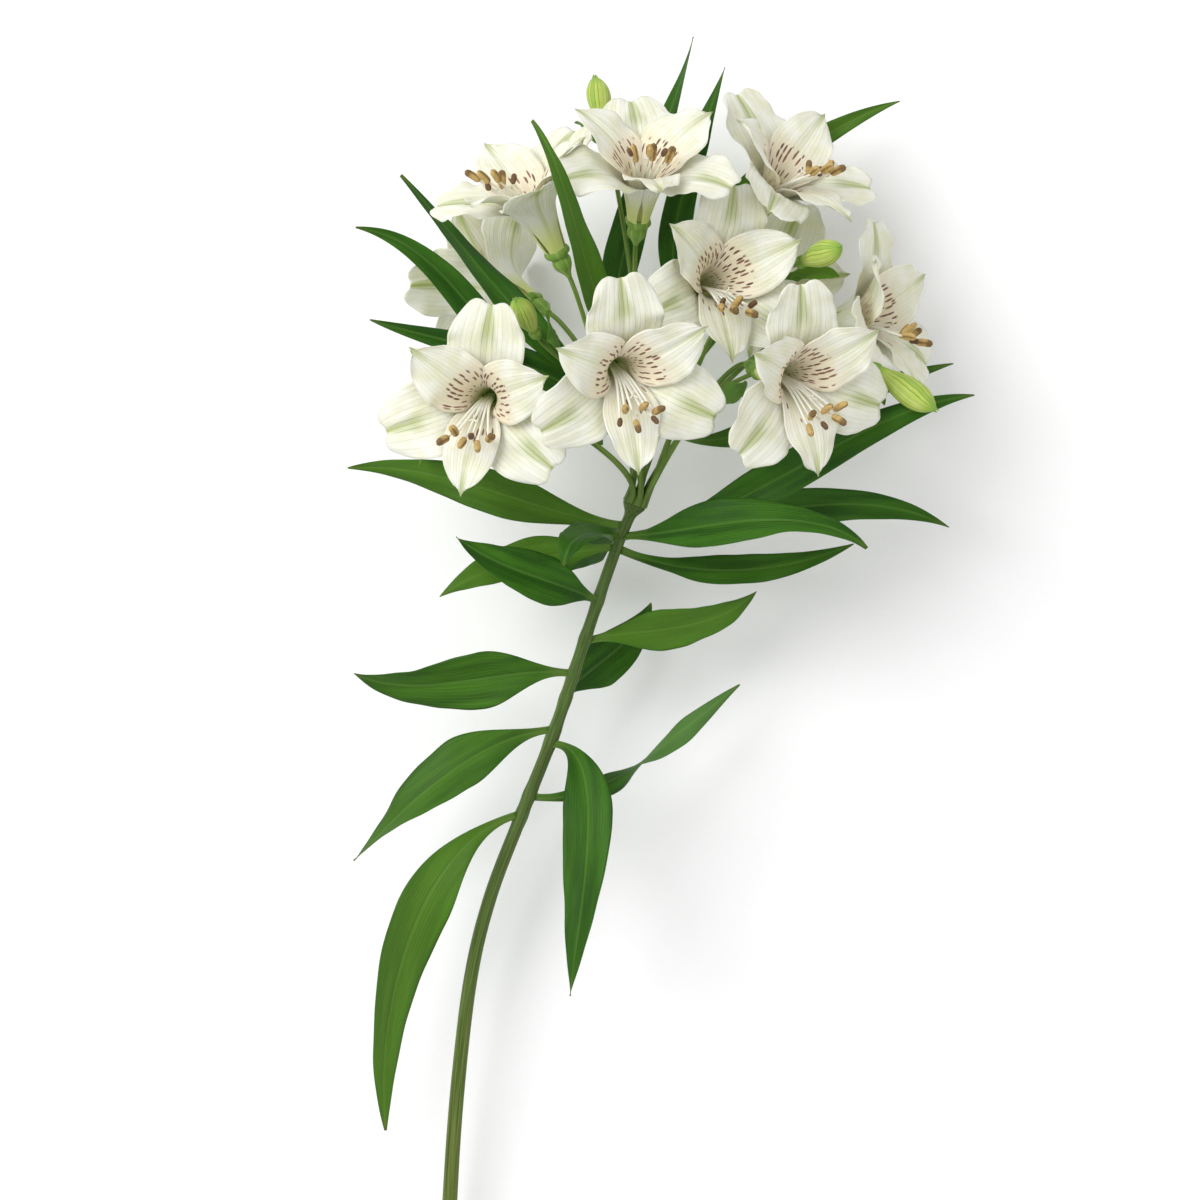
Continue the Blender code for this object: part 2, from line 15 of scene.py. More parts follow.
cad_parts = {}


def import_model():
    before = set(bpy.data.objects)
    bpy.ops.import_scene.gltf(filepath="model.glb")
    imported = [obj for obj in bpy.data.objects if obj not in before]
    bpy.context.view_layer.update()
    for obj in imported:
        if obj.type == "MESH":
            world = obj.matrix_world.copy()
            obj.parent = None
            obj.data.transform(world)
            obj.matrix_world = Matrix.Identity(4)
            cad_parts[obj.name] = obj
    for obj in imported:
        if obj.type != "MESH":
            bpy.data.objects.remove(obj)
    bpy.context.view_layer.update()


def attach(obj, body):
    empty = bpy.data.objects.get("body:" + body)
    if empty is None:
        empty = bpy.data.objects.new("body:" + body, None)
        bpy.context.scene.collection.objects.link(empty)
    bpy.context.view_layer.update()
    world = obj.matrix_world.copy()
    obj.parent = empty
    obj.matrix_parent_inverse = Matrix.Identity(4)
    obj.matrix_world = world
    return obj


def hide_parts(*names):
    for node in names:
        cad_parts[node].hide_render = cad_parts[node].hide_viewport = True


MM = 0.001

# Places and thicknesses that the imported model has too
CROWN_HEIGHT = 62.0
CROWN_FROM_ORIGIN = (-8.0, 85.2, CROWN_HEIGHT)
STEM_ROUTE = [
    (-70, -330), (-67, -290), (-65, -247), (-62, -206), (-57, -165), (-50, -136),
    (-39, -107), (-28, -79), (-17, -46), (-7, -17), (0, 0),
]
STEM_RADIUS_CUT = 2.9
STEM_RADIUS_CROWN = 1.9
KNOB_RADIUS = 4.3
KNOB_LENGTH = 6.0
RAY_RADIUS = 1.0
PEDICEL_RADIUS = 0.8
RAY_RING = 3.1
RAY_FOOT = 2.0
RAY_PULL = 0.7
OVARY_RADIUS = 3.4
OVARY_LENGTH = 8.0
BUD_OVARY_RADIUS = 2.3
BUD_OVARY_LENGTH = 5.0
OVARY_SINK = 1.0
FACE_DEPTH = 29.0
TEPAL_START = 1.0
TEPAL_OVERRUN = 1.1
CURVE_STEPS = 120
FLARE_SPEED = 10.0
LIMB_FLATTENS = 3.0

# The place of each finish in the list of its piece
OUTER_PETAL, SPECKLED_PETAL, LOWER_PETAL, RECEPTACLE = range(4)
FILAMENT, ANTHER, SPENT_ANTHER = range(3)
BUD_SKIN, BUD_POINT = range(2)
BARK, CUT = range(2)
STALK, OVARY = range(2)
BLADE = 0

# How finely the pieces are divided
STEM_RINGS = 170
STEM_SIDES = 20
RAY_RINGS = 46
RAY_SIDES = 12
FORK_RINGS = 30
FORK_NODE_RINGS = 9
OVARY_RINGS = 16
OVARY_SIDES = 24
TEPAL_ROWS = 40
LEAF_ROWS = 72
LEAF_COLUMNS = 14
FILAMENT_RINGS = 26
ANTHER_RINGS = 15
ANTHER_SIDES = 16
STYLE_RINGS = 20
LOBE_RINGS = 7
LOBE_SIDES = 6
BUD_RINGS = 34
BUD_SIDES = 48
THIN_SIDES = 8

# Stem: it swells a little at each leaf below the whorl, and its cut face is hollow
WHORL_END = 20
LEAF_NODE_SWELL = 0.28
LEAF_NODE_HALF = 2.6
CUT_RINGS = (1.0, 0.8, 0.5, 0.25, 0.05)
CUT_HOLLOW = (-0.02, 0.1, 0.25, 0.3, 0.3)
# Half the length of the low swelling where a ray forks
FORK_NODE_HALF = 2.2

# Leaves: shares of the length, powers of the outline, half widths at foot and tip, and
# how deep a leaf is folded for its width
LEAF_WIDEST = 0.42
LEAF_SWELL = 1.2
LEAF_TAPER = 0.95
LEAF_FOOT_HALF = 1.3
LEAF_TIP_HALF = 0.2
LEAF_FOLD = 0.22
LEAF_THICKNESS = 0.5
LEAF_SEEDS = 90.0
# Petals and leaves are thinner at their long edges, and over the last of their length
EDGE_THINS = 0.7
TIP_START = 0.8
TIP_SPAN = 0.2
TIP_THINS = 0.5

# Tepals: millimetres, and flare angles in degrees. The far edge has two lobes beside a
# notch, or a point; "recurve" is how far the tip bends back, least and most.
OUTER_TEPAL = {
    "length": 45.0, "ring": 3.3, "claw": 3.1, "width": 13.2, "tip": 8.5, "widest": 0.70,
    "flare": (9.0, 80.0), "turn": 0.50, "ease": 1.15, "round": 1.0,
    "lobes": 3.1, "point": 1.7, "spread": 0.10, "ruffle": 1.4, "recurve": (0.4, 4.0),
    "pleats": 3.5, "columns": 34,
}
INNER_TEPAL = {
    "length": 46.5, "ring": 2.1, "claw": 1.6, "width": 11.0, "tip": 0.9, "widest": 0.62,
    "flare": (7.0, 68.0), "turn": 0.55, "ease": 1.65, "round": 0.66,
    "lobes": 0.0, "point": 2.6, "spread": 0.6, "ruffle": 1.3, "recurve": (0.2, 3.0),
    "pleats": 3.0, "columns": 28,
}
LOWER_TEPAL = dict(INNER_TEPAL, width=9.4, flare=(8.0, 74.0), turn=0.52)
PETAL_THICKNESS = 0.4
# Shares of the length: where the limb, its far edge and the bend of the tip begin, and
# how long each takes
LIMB_START = 0.35
LIMB_SPAN = 0.45
FLAT_SPAN = 0.4
EDGE_START = 0.7
EDGE_SPAN = 0.3
RECURVE_START = 0.68
RECURVE_SPAN = 0.32
# The crease on the midrib, the pleats beside it and the waves of the edges
CREASE_DEPTH = 0.6
CREASE_HALF = 1.2
PLEAT = 0.12
RUFFLE_BEATS = (2.2, 3.4)
FINE_BEATS = 2.3
# How far one tepal may differ from the next: flare and place in degrees, lean, pattern
FLARE_VARIES = (-5.0, 4.0)
TEPAL_STRAY = 4.0
TEPAL_LEAN = 0.14
PETAL_SEEDS = 60.0
# Angle round the flower from its right-hand side, shape, finish
TEPALS = [
    *((angle, OUTER_TEPAL, OUTER_PETAL) for angle in (90.0, 210.0, 330.0)),
    *((angle, INNER_TEPAL, SPECKLED_PETAL) for angle in (30.0, 150.0)),
    (270.0, LOWER_TEPAL, LOWER_PETAL),
]
RECEPTACLE_HEIGHTS = [0.0, 0.4, 1.6, 2.8, 3.4]
RECEPTACLE_RADII = [3.3, 3.9, 4.3, 4.0, 3.1]

# Stamens
STAMEN_SIDES = [-2.5, -1.5, -0.5, 0.5, 1.5, 2.5]
FILAMENT_REACH = (37.0, 34.0)
FILAMENT_DROOP = (12.0, 10.0)
FILAMENT_FOOT = 4.4
ANTHER_LENGTH = 6.2
ANTHER_RADIUS = 1.3
FILAMENT_RADII = (0.62, 0.36)
# One anther in this many has shed its pollen, and is shorter and thinner
SPENT_EVERY = 4
SPENT_LENGTH = 0.6
SPENT_WIDTH = 0.75
STYLE_ROUTE = [(0.0, 0.0, FILAMENT_FOOT), (0.0, -1.0, 14.0), (0.0, -5.0, 30.0)]
STYLE_RADII = (0.5, 0.35)
LOBE_LENGTH = 1.6
LOBE_RADII = (0.3, 0.2)

# Buds
BUD_RADIUS = 4.5
BUD_LENGTH = 22.0
BUD_WIDEST = 0.58
BUD_TWIST = 0.55
BUD_POINT_RADII = [0.6, 0.58, 0.5, 0.38, 0.22, 0.06]

# A flower: middle of its face, the way it looks, roll in degrees, how far open.
# One that rests is lowered until its lowest tepal touches the surface.
Flower = namedtuple("Flower", "face look roll opening rests", defaults=[False])
FLOWERS = {
    "front": Flower((-2, 38, 60), (0.28, -0.30, 0.92), 8, 1.00),
    "left": Flower((-52, 31, 45), (-0.16, -0.16, 0.97), -12, 0.98),
    "right": Flower((56, 38, 44), (0.52, -0.22, 0.82), 14, 1.01),
    "middle": Flower((30, 74, 23), (0.42, 0.08, 0.88), -6, 0.94),
    "top": Flower((3, 114, 30), (0.08, 0.72, 0.68), 0, 0.91),
    "upper_right": Flower((53, 115, -3), (0.50, 0.62, 0.60), 12, 0.95),
    "far_right": Flower((86, 66, -12), (0.85, 0.20, 0.45), 0, 0.90),
    "upper_left": Flower((-38, 106, 20), (-0.42, 0.80, 0.42), 0, 0.86),
    "rest_left": Flower((-52, 80, 0), (-0.62, 0.40, -0.68), 20, 0.93, True),
    "rest_right": Flower((48, 78, 0), (0.45, 0.35, -0.82), 31, 0.97, True),
}

# A bud, named after the ray that it stands on: tip, the way it points, size
Bud = namedtuple("Bud", "tip way size")
BUDS = {
    "front": Bud((-40, 66, 36), (-0.35, 0.55, 0.70), 0.75),
    "left": Bud((-84, 28, 10), (-0.85, 0.00, 0.20), 0.95),
    "right": Bud((40, 14, 28), (0.10, -0.75, 0.55), 1.0),
    "upper_right": Bud((68, 84, 26), (0.55, 0.15, 0.75), 0.9),
    "far_right": Bud((100, 30, 22), (0.75, -0.55, 0.30), 1.1),
    "top": Bud((-14, 147, -14), (-0.20, 0.95, -0.10), 0.8),
}

# A ray, named after the flower that it ends in: slot round the crown in degrees, or
# None for the middle, the share of the ray where it forks, what stands on the fork
Ray = namedtuple("Ray", "slot fork second")
RAYS = {
    "rest_right": Ray(350, None, None),
    "right": Ray(35, 0.45, "bud"),
    "front": Ray(80, 0.50, "bud"),
    "left": Ray(125, 0.50, "bud"),
    "top": Ray(170, 0.60, "bud"),
    "rest_left": Ray(215, 0.45, "upper_left"),
    "upper_right": Ray(260, 0.30, "bud"),
    "far_right": Ray(305, 0.55, "bud"),
    "middle": Ray(None, None, None),
}

# A small young leaf on the stalk of a bud: share of the stalk below it, the side of the
# stalk that it grows from, length, half width, twist in degrees
YoungLeaf = namedtuple("YoungLeaf", "share side length half twist")
YOUNG_LEAVES = {
    "front": YoungLeaf(0.72, (0.6, 0.5, 0.6), 20.0, 3.2, 20),
    "left": YoungLeaf(0.88, (-0.8, -0.6, 0.2), 25.0, 3.4, -30),
    "right": YoungLeaf(0.55, (-0.7, -0.3, 0.6), 20.0, 3.0, 55),
    "upper_right": YoungLeaf(0.88, (0.8, -0.6, -0.2), 21.0, 3.5, 35),
    "far_right": YoungLeaf(0.84, (0.5, -0.8, 0.3), 23.0, 3.6, 30),
    "top": YoungLeaf(0.92, (-0.7, 0.3, -0.6), 20.0, 3.4, 0),
}

# A leaf: what it grows from, how far from the crown, the way it leaves, its tip, the
# way it arrives there, half width, the way its face looks, twist in degrees. A row of
# the table starts with the leaf's name.
Leaf = namedtuple("Leaf", "host distance leave tip arrive half face twist")
LEAF_TABLE = [
    ("whorl_1", "stem", 12, (0.95, 0.1, 0.25), (114, 36, 8), (0.9, 0.1, -0.3), 6.5, (0, 0.3, 1), 30),
    ("whorl_2", "stem", 12, (0.7, 0.0, 0.7), (76, -16, 30), (0.7, -0.6, -0.3), 8, (0, 0.2, 1), -35),
    ("whorl_3", "stem", 17, (0.9, -0.4, 0.0), (74, -14, 0), (0.9, 0.4, 0.1), 5, (0, 0.5, 0.8), 25),
    ("whorl_4", "stem", 12, (0.9, 0.1, -0.4), (108, -8, -16), (0.9, -0.5, -0.1), 7, (0, 0, 1), 30),
    ("whorl_5", "stem", 13, (-0.5, 0.1, 0.8), (-24, -22, 34), (-0.1, -0.9, -0.2), 6.5, (-0.3, 0.2, 0.9), 0),
    ("whorl_6", "stem", 9, (-0.9, 0.1, 0.2), (-98, 12, -6), (-0.9, -0.1, -0.2), 7, (0, 0.2, 1), -40),
    ("whorl_7", "stem", 17, (-0.8, -0.1, 0.1), (-66, -32, 8), (-0.7, -0.5, 0.1), 7, (0.2, 0, 1), 45),
    ("whorl_8", "stem", 12, (-0.2, 0.1, -0.9), (-34, -28, -40), (-0.5, -0.8, -0.2), 7.5, (0.2, 0, 1), 0),
    ("bract_1", "upper_right", 88, (-0.2, 0.9, -0.6), (92, 140, -26), (1.0, 0.3, 0.1), 5, (0, 0, 1), 0),
    ("bract_2", "far_right", 30, (0.5, -0.2, -0.8), (112, 50, -40), (0.9, 0.2, 0), 5, (0, 0, 1), 0),
    ("bract_3", "top", 46, (-0.5, 0.3, 0.8), (-34, 122, 52), (-0.5, 0.8, -0.6), 5, (0.3, 0, 1), 30),
    ("bract_4", "left", 24, (0.0, 1.0, -0.2), (-90, 62, 0), (-0.9, 0.3, 0), 5, (0, 0, 1), 0),
    ("bract_5", "top", 44, (-0.6, 0.7, -0.6), (20, 160, -12), (0.2, 0.9, 0.1), 6, (0, -0.3, 1), -50),
    ("bract_6", "rest_left", 36, (-0.7, 0.5, 0.5), (-80, 112, -8), (-0.6, 0.7, -0.2), 5, (0, 0, 1), 50),
    ("bract_7", "upper_right", 70, (-0.6, 0.5, 0.6), (30, 146, 10), (0.3, 0.9, 0.2), 5, (0.2, 0, 1), -40),
    ("bract_8", "left", 42, (-0.6, 0.6, 0.1), (-94, 92, 12), (-0.9, 0.1, 0.1), 5, (0.2, 0.5, 0.9), -30),
    ("leaf_1", "stem", 108, (1.0, -0.1, 0.2), (36, -62, -14), (0.8, 0.6, 0), 5, (0, 0, 1), 180),
    ("leaf_2", "stem", 50, (0.9, 0.2, -0.2), (42, -30, -20), (0.7, 0.7, 0), 7, (-0.2, 0, 1), 45),
    ("leaf_3", "stem", 63, (-0.9, 0.1, 0.2), (-96, -58, -8), (-0.9, 0.4, 0), 10, (0, 0, 1), -50),
    ("leaf_4", "stem", 84, (-0.9, -0.1, 0.1), (-96, -122, -8), (-0.7, -0.7, 0), 9, (0, 0, 1), 60),
    ("leaf_5", "stem", 116, (-0.8, -0.2, 0.4), (-86, -216, -20), (0.1, -0.9, -0.1), 9, (0, 0, 1), -45),
    ("leaf_6", "stem", 88, (0.7, 0.0, 0.7), (-22, -166, 10), (-0.1, -0.9, -0.1), 8, (0.3, 0, 1), 60),
    ("leaf_7", "stem", 36, (-0.5, 0.3, 0.8), (-60, -12, 16), (-0.7, 0.6, -0.2), 8, (0, 0, 1), 40),
    ("leaf_8", "stem", 72, (0.2, 0.5, -0.8), (6, -34, -44), (0.3, 0.9, 0), 8, (0, 0, 1), 0),
]
LEAVES = {name: Leaf(*facts) for name, *facts in LEAF_TABLE}

# Camera: straight over the stem, which shows the side that the photo shows
CAMERA_TARGET = (-12.0, -33.0)
CAMERA_DISTANCE = 1130.0
CAMERA_LENS = 100.0
# How far the camera sees, the floor and the lamps, in metres
CAMERA_REACH = 20.0
FLOOR_HALF = 3.0
FLOOR_LOW = -0.0002
LAMP_TARGET = (0.0, 0.05, 0.05)
# Place, width and power in watts of each lamp
LAMPS = {
    "key": ((-0.75, 0.55, 1.25), 0.9, 16.4),
    "fill": ((1.1, -0.5, 1.0), 1.2, 3.0),
}
SKY_STRENGTH = 0.68

# Marks of each corner that the finishes read. Place: across and along its form in
# millimetres, and a number that tells forms apart. Share: how far across or round, how
# far along, and 1 on the front of a sheet.
MARKS = ("place", "share")


# Shader maths

# A Mix node has its own sockets for colours, with the names that others have too
MIX_FACTOR, MIX_PLAIN, MIX_OTHER, MIX_COLOUR = 0, 6, 7, 2


def maths(operation, flipped=False):
    """A method that adds a Math node; flipped puts the wire itself last."""
    def method(wire, *terms):
        terms = (*terms, wire) if flipped else (wire, *terms)
        return wire.node("Math", {"operation": operation}, dict(enumerate(terms)))

    return method


class Wire:
    """An output socket of a material's nodes, on which Python's operators work."""

    def __init__(self, tree, socket):
        self.tree = tree
        self.socket = socket

    def node(self, kind, settings=None, sockets=None, output=0):
        """Add a node: its settings first, then the values or links of its sockets."""
        made = self.tree.nodes.new("ShaderNode" + kind)
        for name, value in (settings or {}).items():
            setattr(made, name, value)
        for key, value in (sockets or {}).items():
            if isinstance(value, Wire):
                self.tree.links.new(value.socket, made.inputs[key])
            else:
                made.inputs[key].default_value = value
        return Wire(self.tree, made.outputs[output])

    def other(self, output):
        """Another output of the same node."""
        return Wire(self.tree, self.socket.node.outputs[output])

    __add__ = maths("ADD")
    __radd__ = maths("ADD", True)
    __sub__ = maths("SUBTRACT")
    __rsub__ = maths("SUBTRACT", True)
    __mul__ = maths("MULTIPLY")
    __rmul__ = maths("MULTIPLY", True)
    __truediv__ = maths("DIVIDE")
    __pow__ = maths("POWER")
    size = maths("ABSOLUTE")
    part = maths("FRACT")
    most = maths("MAXIMUM")

    def stripes(self):
        """How far this is from a point halfway between two whole numbers."""
        return (self.part() - 0.5).size()

    def rise(self, low, high):
        """0 below low, 1 above high, and an ease between them."""
        return self.node(
            "MapRange",
            {"interpolation_type": "SMOOTHSTEP"},
            {"Value": self, "From Min": low, "From Max": high},
        )

    def fall(self, low, high):
        """1 below low, 0 above high, and an ease between them."""
        return 1.0 - self.rise(low, high)

    def join(self, x, y, z):
        """A vector of three numbers."""
        return self.node("CombineXYZ", None, {0: x, 1: y, 2: z})

    def split(self):
        """The three numbers of a vector."""
        first = self.node("SeparateXYZ", None, {0: self})
        return first, first.other(1), first.other(2)

    def noise(self, scale, detail=2.0):
        """Soft noise between 0 and 1 over this vector."""
        return self.node("TexNoise", None, {"Vector": self, "Scale": scale, "Detail": detail})

    def mix(self, plain, other):
        """The colour plain where this is 0 and other where it is 1."""
        return self.node(
            "Mix",
            {"data_type": "RGBA", "clamp_factor": True},
            {MIX_FACTOR: self, MIX_PLAIN: full(plain), MIX_OTHER: full(other)},
            MIX_COLOUR,
        )

    def bump(self, strength, height):
        """A normal raised by this value; height is in millimetres."""
        return self.node(
            "Bump", None, {"Height": self, "Strength": strength, "Distance": height * MM}
        )


def full(colour):
    """A colour with its fourth number, or a wire as it is."""
    return colour if isinstance(colour, Wire) else (*colour, 1.0)


def finish(name, paint, constants, *options):
    """A material: paint gives what changes over a surface, constants what does not."""
    made = bpy.data.materials.new(name)
    made.use_nodes = True
    tree = made.node_tree
    shader = tree.nodes["Principled BSDF"]
    for socket, value in constants.items():
        shader.inputs[socket].default_value = value
    start = Wire(tree, shader.outputs[0])
    marks = [start.node("Attribute", {"attribute_name": k}, None, "Vector") for k in MARKS]
    for socket, wire in paint(*marks, *options).items():
        tree.links.new(wire.socket, shader.inputs[socket])
    return made


# Colours, as linear light; a pair is the two ends of a mix

PETAL_WHITE = (0.79, 0.79, 0.69)
PETAL_COOL = (0.73, 0.725, 0.555)
PETAL_CREAM = (0.80, 0.69, 0.50)
PETAL_LIME = (0.60, 0.66, 0.19)
# The throat's front is yellow green, painted lighter than its back as a glow of light shining through the
# thin petals
PETAL_THROAT_PAINTED_GLOW = (0.78, 0.82, 0.36)
PETAL_BAND = (0.43, 0.51, 0.18)
PETAL_TIP = (0.27, 0.33, 0.08)
PETAL_VEIN = (0.60, 0.64, 0.42)
SPECKLES = (0.118, 0.046, 0.034), (0.26, 0.12, 0.083)
FILAMENT_ENDS = (0.62, 0.70, 0.30), (0.84, 0.84, 0.74)
FILAMENT_ROSE = (0.72, 0.50, 0.42)
ANTHER_TANS = (0.44, 0.28, 0.07), (0.66, 0.48, 0.20)
ANTHER_BLOTCH = (0.24, 0.13, 0.035)
ANTHER_END = (0.11, 0.055, 0.02)
# Painted shade for the grooves between the lobes of the anthers
ANTHER_GROOVE_PAINTED_SHADE = (0.17, 0.085, 0.02)
SPENT_BROWNS = (0.07, 0.035, 0.015), (0.21, 0.115, 0.05)
BUD_GREENS = (0.36, 0.48, 0.07), (0.50, 0.58, 0.15)
BUD_STRIPE = (0.12, 0.22, 0.03)
BUD_KEEL = (0.22, 0.38, 0.06)
BUD_SEAM = (0.60, 0.66, 0.34)
BUD_END = (0.19, 0.36, 0.05)
OVARY_GREENS = (0.14, 0.27, 0.04), (0.22, 0.37, 0.07)
OVARY_RIB = (0.34, 0.47, 0.13)
RAY_GREENS = (0.085, 0.155, 0.025), (0.17, 0.26, 0.055)
RAY_FOOT_SHADE = (0.07, 0.11, 0.025)
STEM_LOW = (0.058, 0.095, 0.014), (0.155, 0.205, 0.044)
STEM_HIGH = (0.042, 0.082, 0.016), (0.092, 0.150, 0.035)
STEM_BLUSH = (0.13, 0.095, 0.04)
STEM_SPECK = (0.30, 0.33, 0.14)
CUT_FLESH = (0.58, 0.62, 0.36)
CUT_DOT = (0.30, 0.38, 0.12)
CUT_RIM = (0.24, 0.33, 0.08)
LEAF_GREENS = (0.013, 0.062, 0.003), (0.038, 0.132, 0.007)
LEAF_YOUNG = (0.125, 0.265, 0.022)
LEAF_VEIN = (0.085, 0.22, 0.03)
LEAF_RIB = (0.13, 0.27, 0.045)
LEAF_FOOT = (0.15, 0.26, 0.05)
LEAF_TIP = (0.12, 0.16, 0.03)
LEAF_BACK = (0.12, 0.24, 0.07)
PAPER_WHITES = (0.91, 0.91, 0.91), (0.94, 0.94, 0.94)

# Patterns: how many veins, stripes or ribs, and the grid that the dashes stand in
PETAL_VEINS = 7.5
LEAF_VEINS = 8.5
BUD_STRIPES = 6.0
OVARY_RIBS = 6.0
DASH_ACROSS = 1.45
DASH_ALONG = 3.4
SPECKLED_HALF = 7.0
# How much cream, and how many dashes, an inner petal carries
SPECKLED_ZONE = 1.0
LOWER_ZONE = 0.4
# Where along a petal the olive wedge starts, and how fast it narrows to the tip
INNER_WEDGE = (0.82, 9.0)
OUTER_WEDGE = (0.66, 14.0)
# The fraction of a seed times this picks the pieces that look different
SEED_STEP = 0.382
# How much lighter and yellower a young leaf is
YOUNG_LIGHT = 1.1


def surface(colour, roughness, normal):
    """What a finish changes over a surface."""
    return {"Base Color": colour, "Roughness": roughness, "Normal": normal}


def petal_paint(place, share, zone=0.0):
    """White with green veins; zone is how much cream and how many dashes it carries."""
    x, y, seed = place.split()
    s, t, front = share.split()
    cloud = place.noise(0.16)
    colour = cloud.rise(0.35, 0.7).mix(PETAL_WHITE, PETAL_COOL)
    # Veins run from the claw to the edge and fan out with the petal.
    wander = place.join(s * 2.0, t * 3.0, seed).noise(1.6) - 0.5
    vein = (s * PETAL_VEINS + wander * 0.6).stripes().rise(0.34, 0.5)
    strength = t.rise(0.1, 0.5) * t.fall(0.8, 1.0) * (0.15 + 0.3 * cloud.rise(0.3, 0.6))
    colour = (vein * strength).mix(colour, PETAL_VEIN)
    middle = x.size().fall(0.1, 1.3)
    beside = x.size().fall(0.6, 4.2)
    back = 1.0 - front
    front_band = 0.10 + t.rise(0.6, 0.98) * (0.45 - 0.25 * zone)
    band = middle * (front_band + back * 0.45) + beside * vein * t.rise(0.35, 0.9) * 0.35
    colour = band.mix(colour, PETAL_BAND)
    if zone:
        warm = t.rise(0.22, 0.34) * t.fall(0.54, 0.74) * 0.75 * zone
        colour = warm.mix(colour, PETAL_CREAM)
    # The claw is yellow green; its lighter front is a painted glow, standing in for light shining through
    # the petals into the throat.
    claw = t.fall(0.08, 0.40) * (0.75 + back * 0.2)
    colour = claw.mix(colour, front.mix(PETAL_LIME, PETAL_THROAT_PAINTED_GLOW))
    throat_vein = vein * t.fall(0.12, 0.34) * front
    colour = (throat_vein * 0.35).mix(colour, PETAL_BAND)
    # An olive wedge points to the tip, with darker veins in it.
    start, spread = INNER_WEDGE if zone else OUTER_WEDGE
    wedge = (x.size() / ((1.0 - t) * spread + 0.7)).fall(0.35, 1.25)
    patch = wedge * t.rise(start, start + 0.16) * (0.5 + 0.35 * vein)
    colour = patch.mix(colour, PETAL_TIP)
    if zone:
        # Dashes stand in rows along the veins: one in most cells of a stretched grid.
        u = s * (SPECKLED_HALF / DASH_ACROSS)
        v = y / DASH_ALONG
        cells = place.node(
            "TexVoronoi",
            {"voronoi_dimensions": "2D"},
            {"Vector": place.join(u + seed, v + seed, 0.0), "Scale": 1.0, "Randomness": 0.75},
            "Position",
        )
        px, py, _ = cells.split()
        draw, draw_two, _ = cells.other("Color").split()
        dx = (u + seed - px) * DASH_ACROSS
        dy = (v + seed - py) * DASH_ALONG
        outward = t.rise(0.30, 0.56)
        reach = 0.55 + draw * 0.55 + outward * 0.95
        thick = 0.16 + draw_two * 0.06 + outward * 0.07
        spot = ((dx / thick) ** 2.0 + (dy / reach) ** 2.0).fall(0.55, 1.2)
        edge = t + s * s * 0.10
        field = edge.rise(0.22, 0.27) * edge.fall(0.63, 0.66) * s.size().fall(0.84, 0.98)
        full_zone = zone == SPECKLED_ZONE
        kept = draw_two.rise(0.06, 0.07) if full_zone else draw_two.rise(0.8, 0.81)
        tone = draw.mix(*SPECKLES)
        colour = (spot * field * kept * (0.35 + front * 0.65)).mix(colour, tone)
    fine = place.noise(3.0)
    relief = vein * 0.8 - middle * 0.8 + fine * 0.4
    return surface(colour, 0.46 + fine * 0.12, relief.bump(0.55, 0.18))


def filament_paint(place, share):
    """Pale, greenish at the foot, a little rosy near the anther."""
    t = share.split()[1]
    colour = t.rise(0.0, 0.5).mix(*FILAMENT_ENDS)
    colour = (t.rise(0.8, 1.0) * 0.4).mix(colour, FILAMENT_ROSE)
    return {"Base Color": colour, "Roughness": 0.45 + place.noise(1.0) * 0.1}


def anther_paint(place, share):
    """Tan with pollen grain, brown blotches and painted shade in the grooves; some have brown ends."""
    turn, t, seed = share.split()
    grain = place.noise(5.0, 4.0)
    colour = grain.rise(0.3, 0.7).mix(*ANTHER_TANS)
    blotch = place.noise(1.1).rise(0.52, 0.68)
    colour = (blotch * 0.45).mix(colour, ANTHER_BLOTCH)
    ends = t.rise(0.55, 0.8) * (seed * SEED_STEP).part().rise(0.5, 0.52)
    colour = (ends * 0.8).mix(colour, ANTHER_END)
    # Painted shade: the groove between the two lobes is darkened.
    groove = (turn * 2.0 + 0.5).stripes().rise(0.30, 0.46)
    colour = (groove * 0.7).mix(colour, ANTHER_GROOVE_PAINTED_SHADE)
    return surface(colour, 0.72 + grain * 0.15, grain.bump(0.8, 0.25))


def spent_anther_paint(place, share):
    """Brown and shrunken."""
    grain = place.noise(4.0, 3.0)
    colour = grain.mix(*SPENT_BROWNS)
    return surface(colour, 0.7 + grain * 0.15, grain.bump(0.8, 0.25))


def bud_paint(place, share):
    """Yellow green, with darker stripes on each petal and pale seams."""
    turn, t, _ = share.split()
    cloud = place.noise(0.25)
    colour = cloud.mix(*BUD_GREENS)
    local = (turn * 3.0).part() - 0.5
    wander = place.noise(0.35) - 0.5
    stripe = (local * BUD_STRIPES + wander * 0.5).stripes().fall(0.04, 0.20)
    stripe = stripe * t.rise(0.05, 0.3) * local.size().fall(0.30, 0.46)
    colour = (stripe * 0.7).mix(colour, BUD_STRIPE)
    keel = local.size().fall(0.02, 0.12)
    colour = (keel * 0.6).mix(colour, BUD_KEEL)
    seam = local.size().rise(0.42, 0.5) * t.fall(0.75, 0.95)
    colour = (seam * 0.5).mix(colour, BUD_SEAM)
    ends = t.rise(0.78, 1.0).most(t.fall(0.0, 0.16))
    colour = (ends * 0.8).mix(colour, BUD_END)
    roughness = 0.40 + cloud * 0.12
    relief = stripe * 0.5 + place.noise(2.0) * 0.5
    return surface(colour, roughness, relief.bump(0.5, 0.2))


def ovary_paint(place, share):
    """Green with paler ribs."""
    turn = share.split()[0]
    cloud = place.noise(0.5)
    colour = cloud.mix(*OVARY_GREENS)
    rib = (turn * OVARY_RIBS).stripes().fall(0.0, 0.22)
    colour = (rib * 0.55).mix(colour, OVARY_RIB)
    return surface(colour, 0.42 + cloud * 0.12, place.noise(2.0).bump(0.4, 0.15))


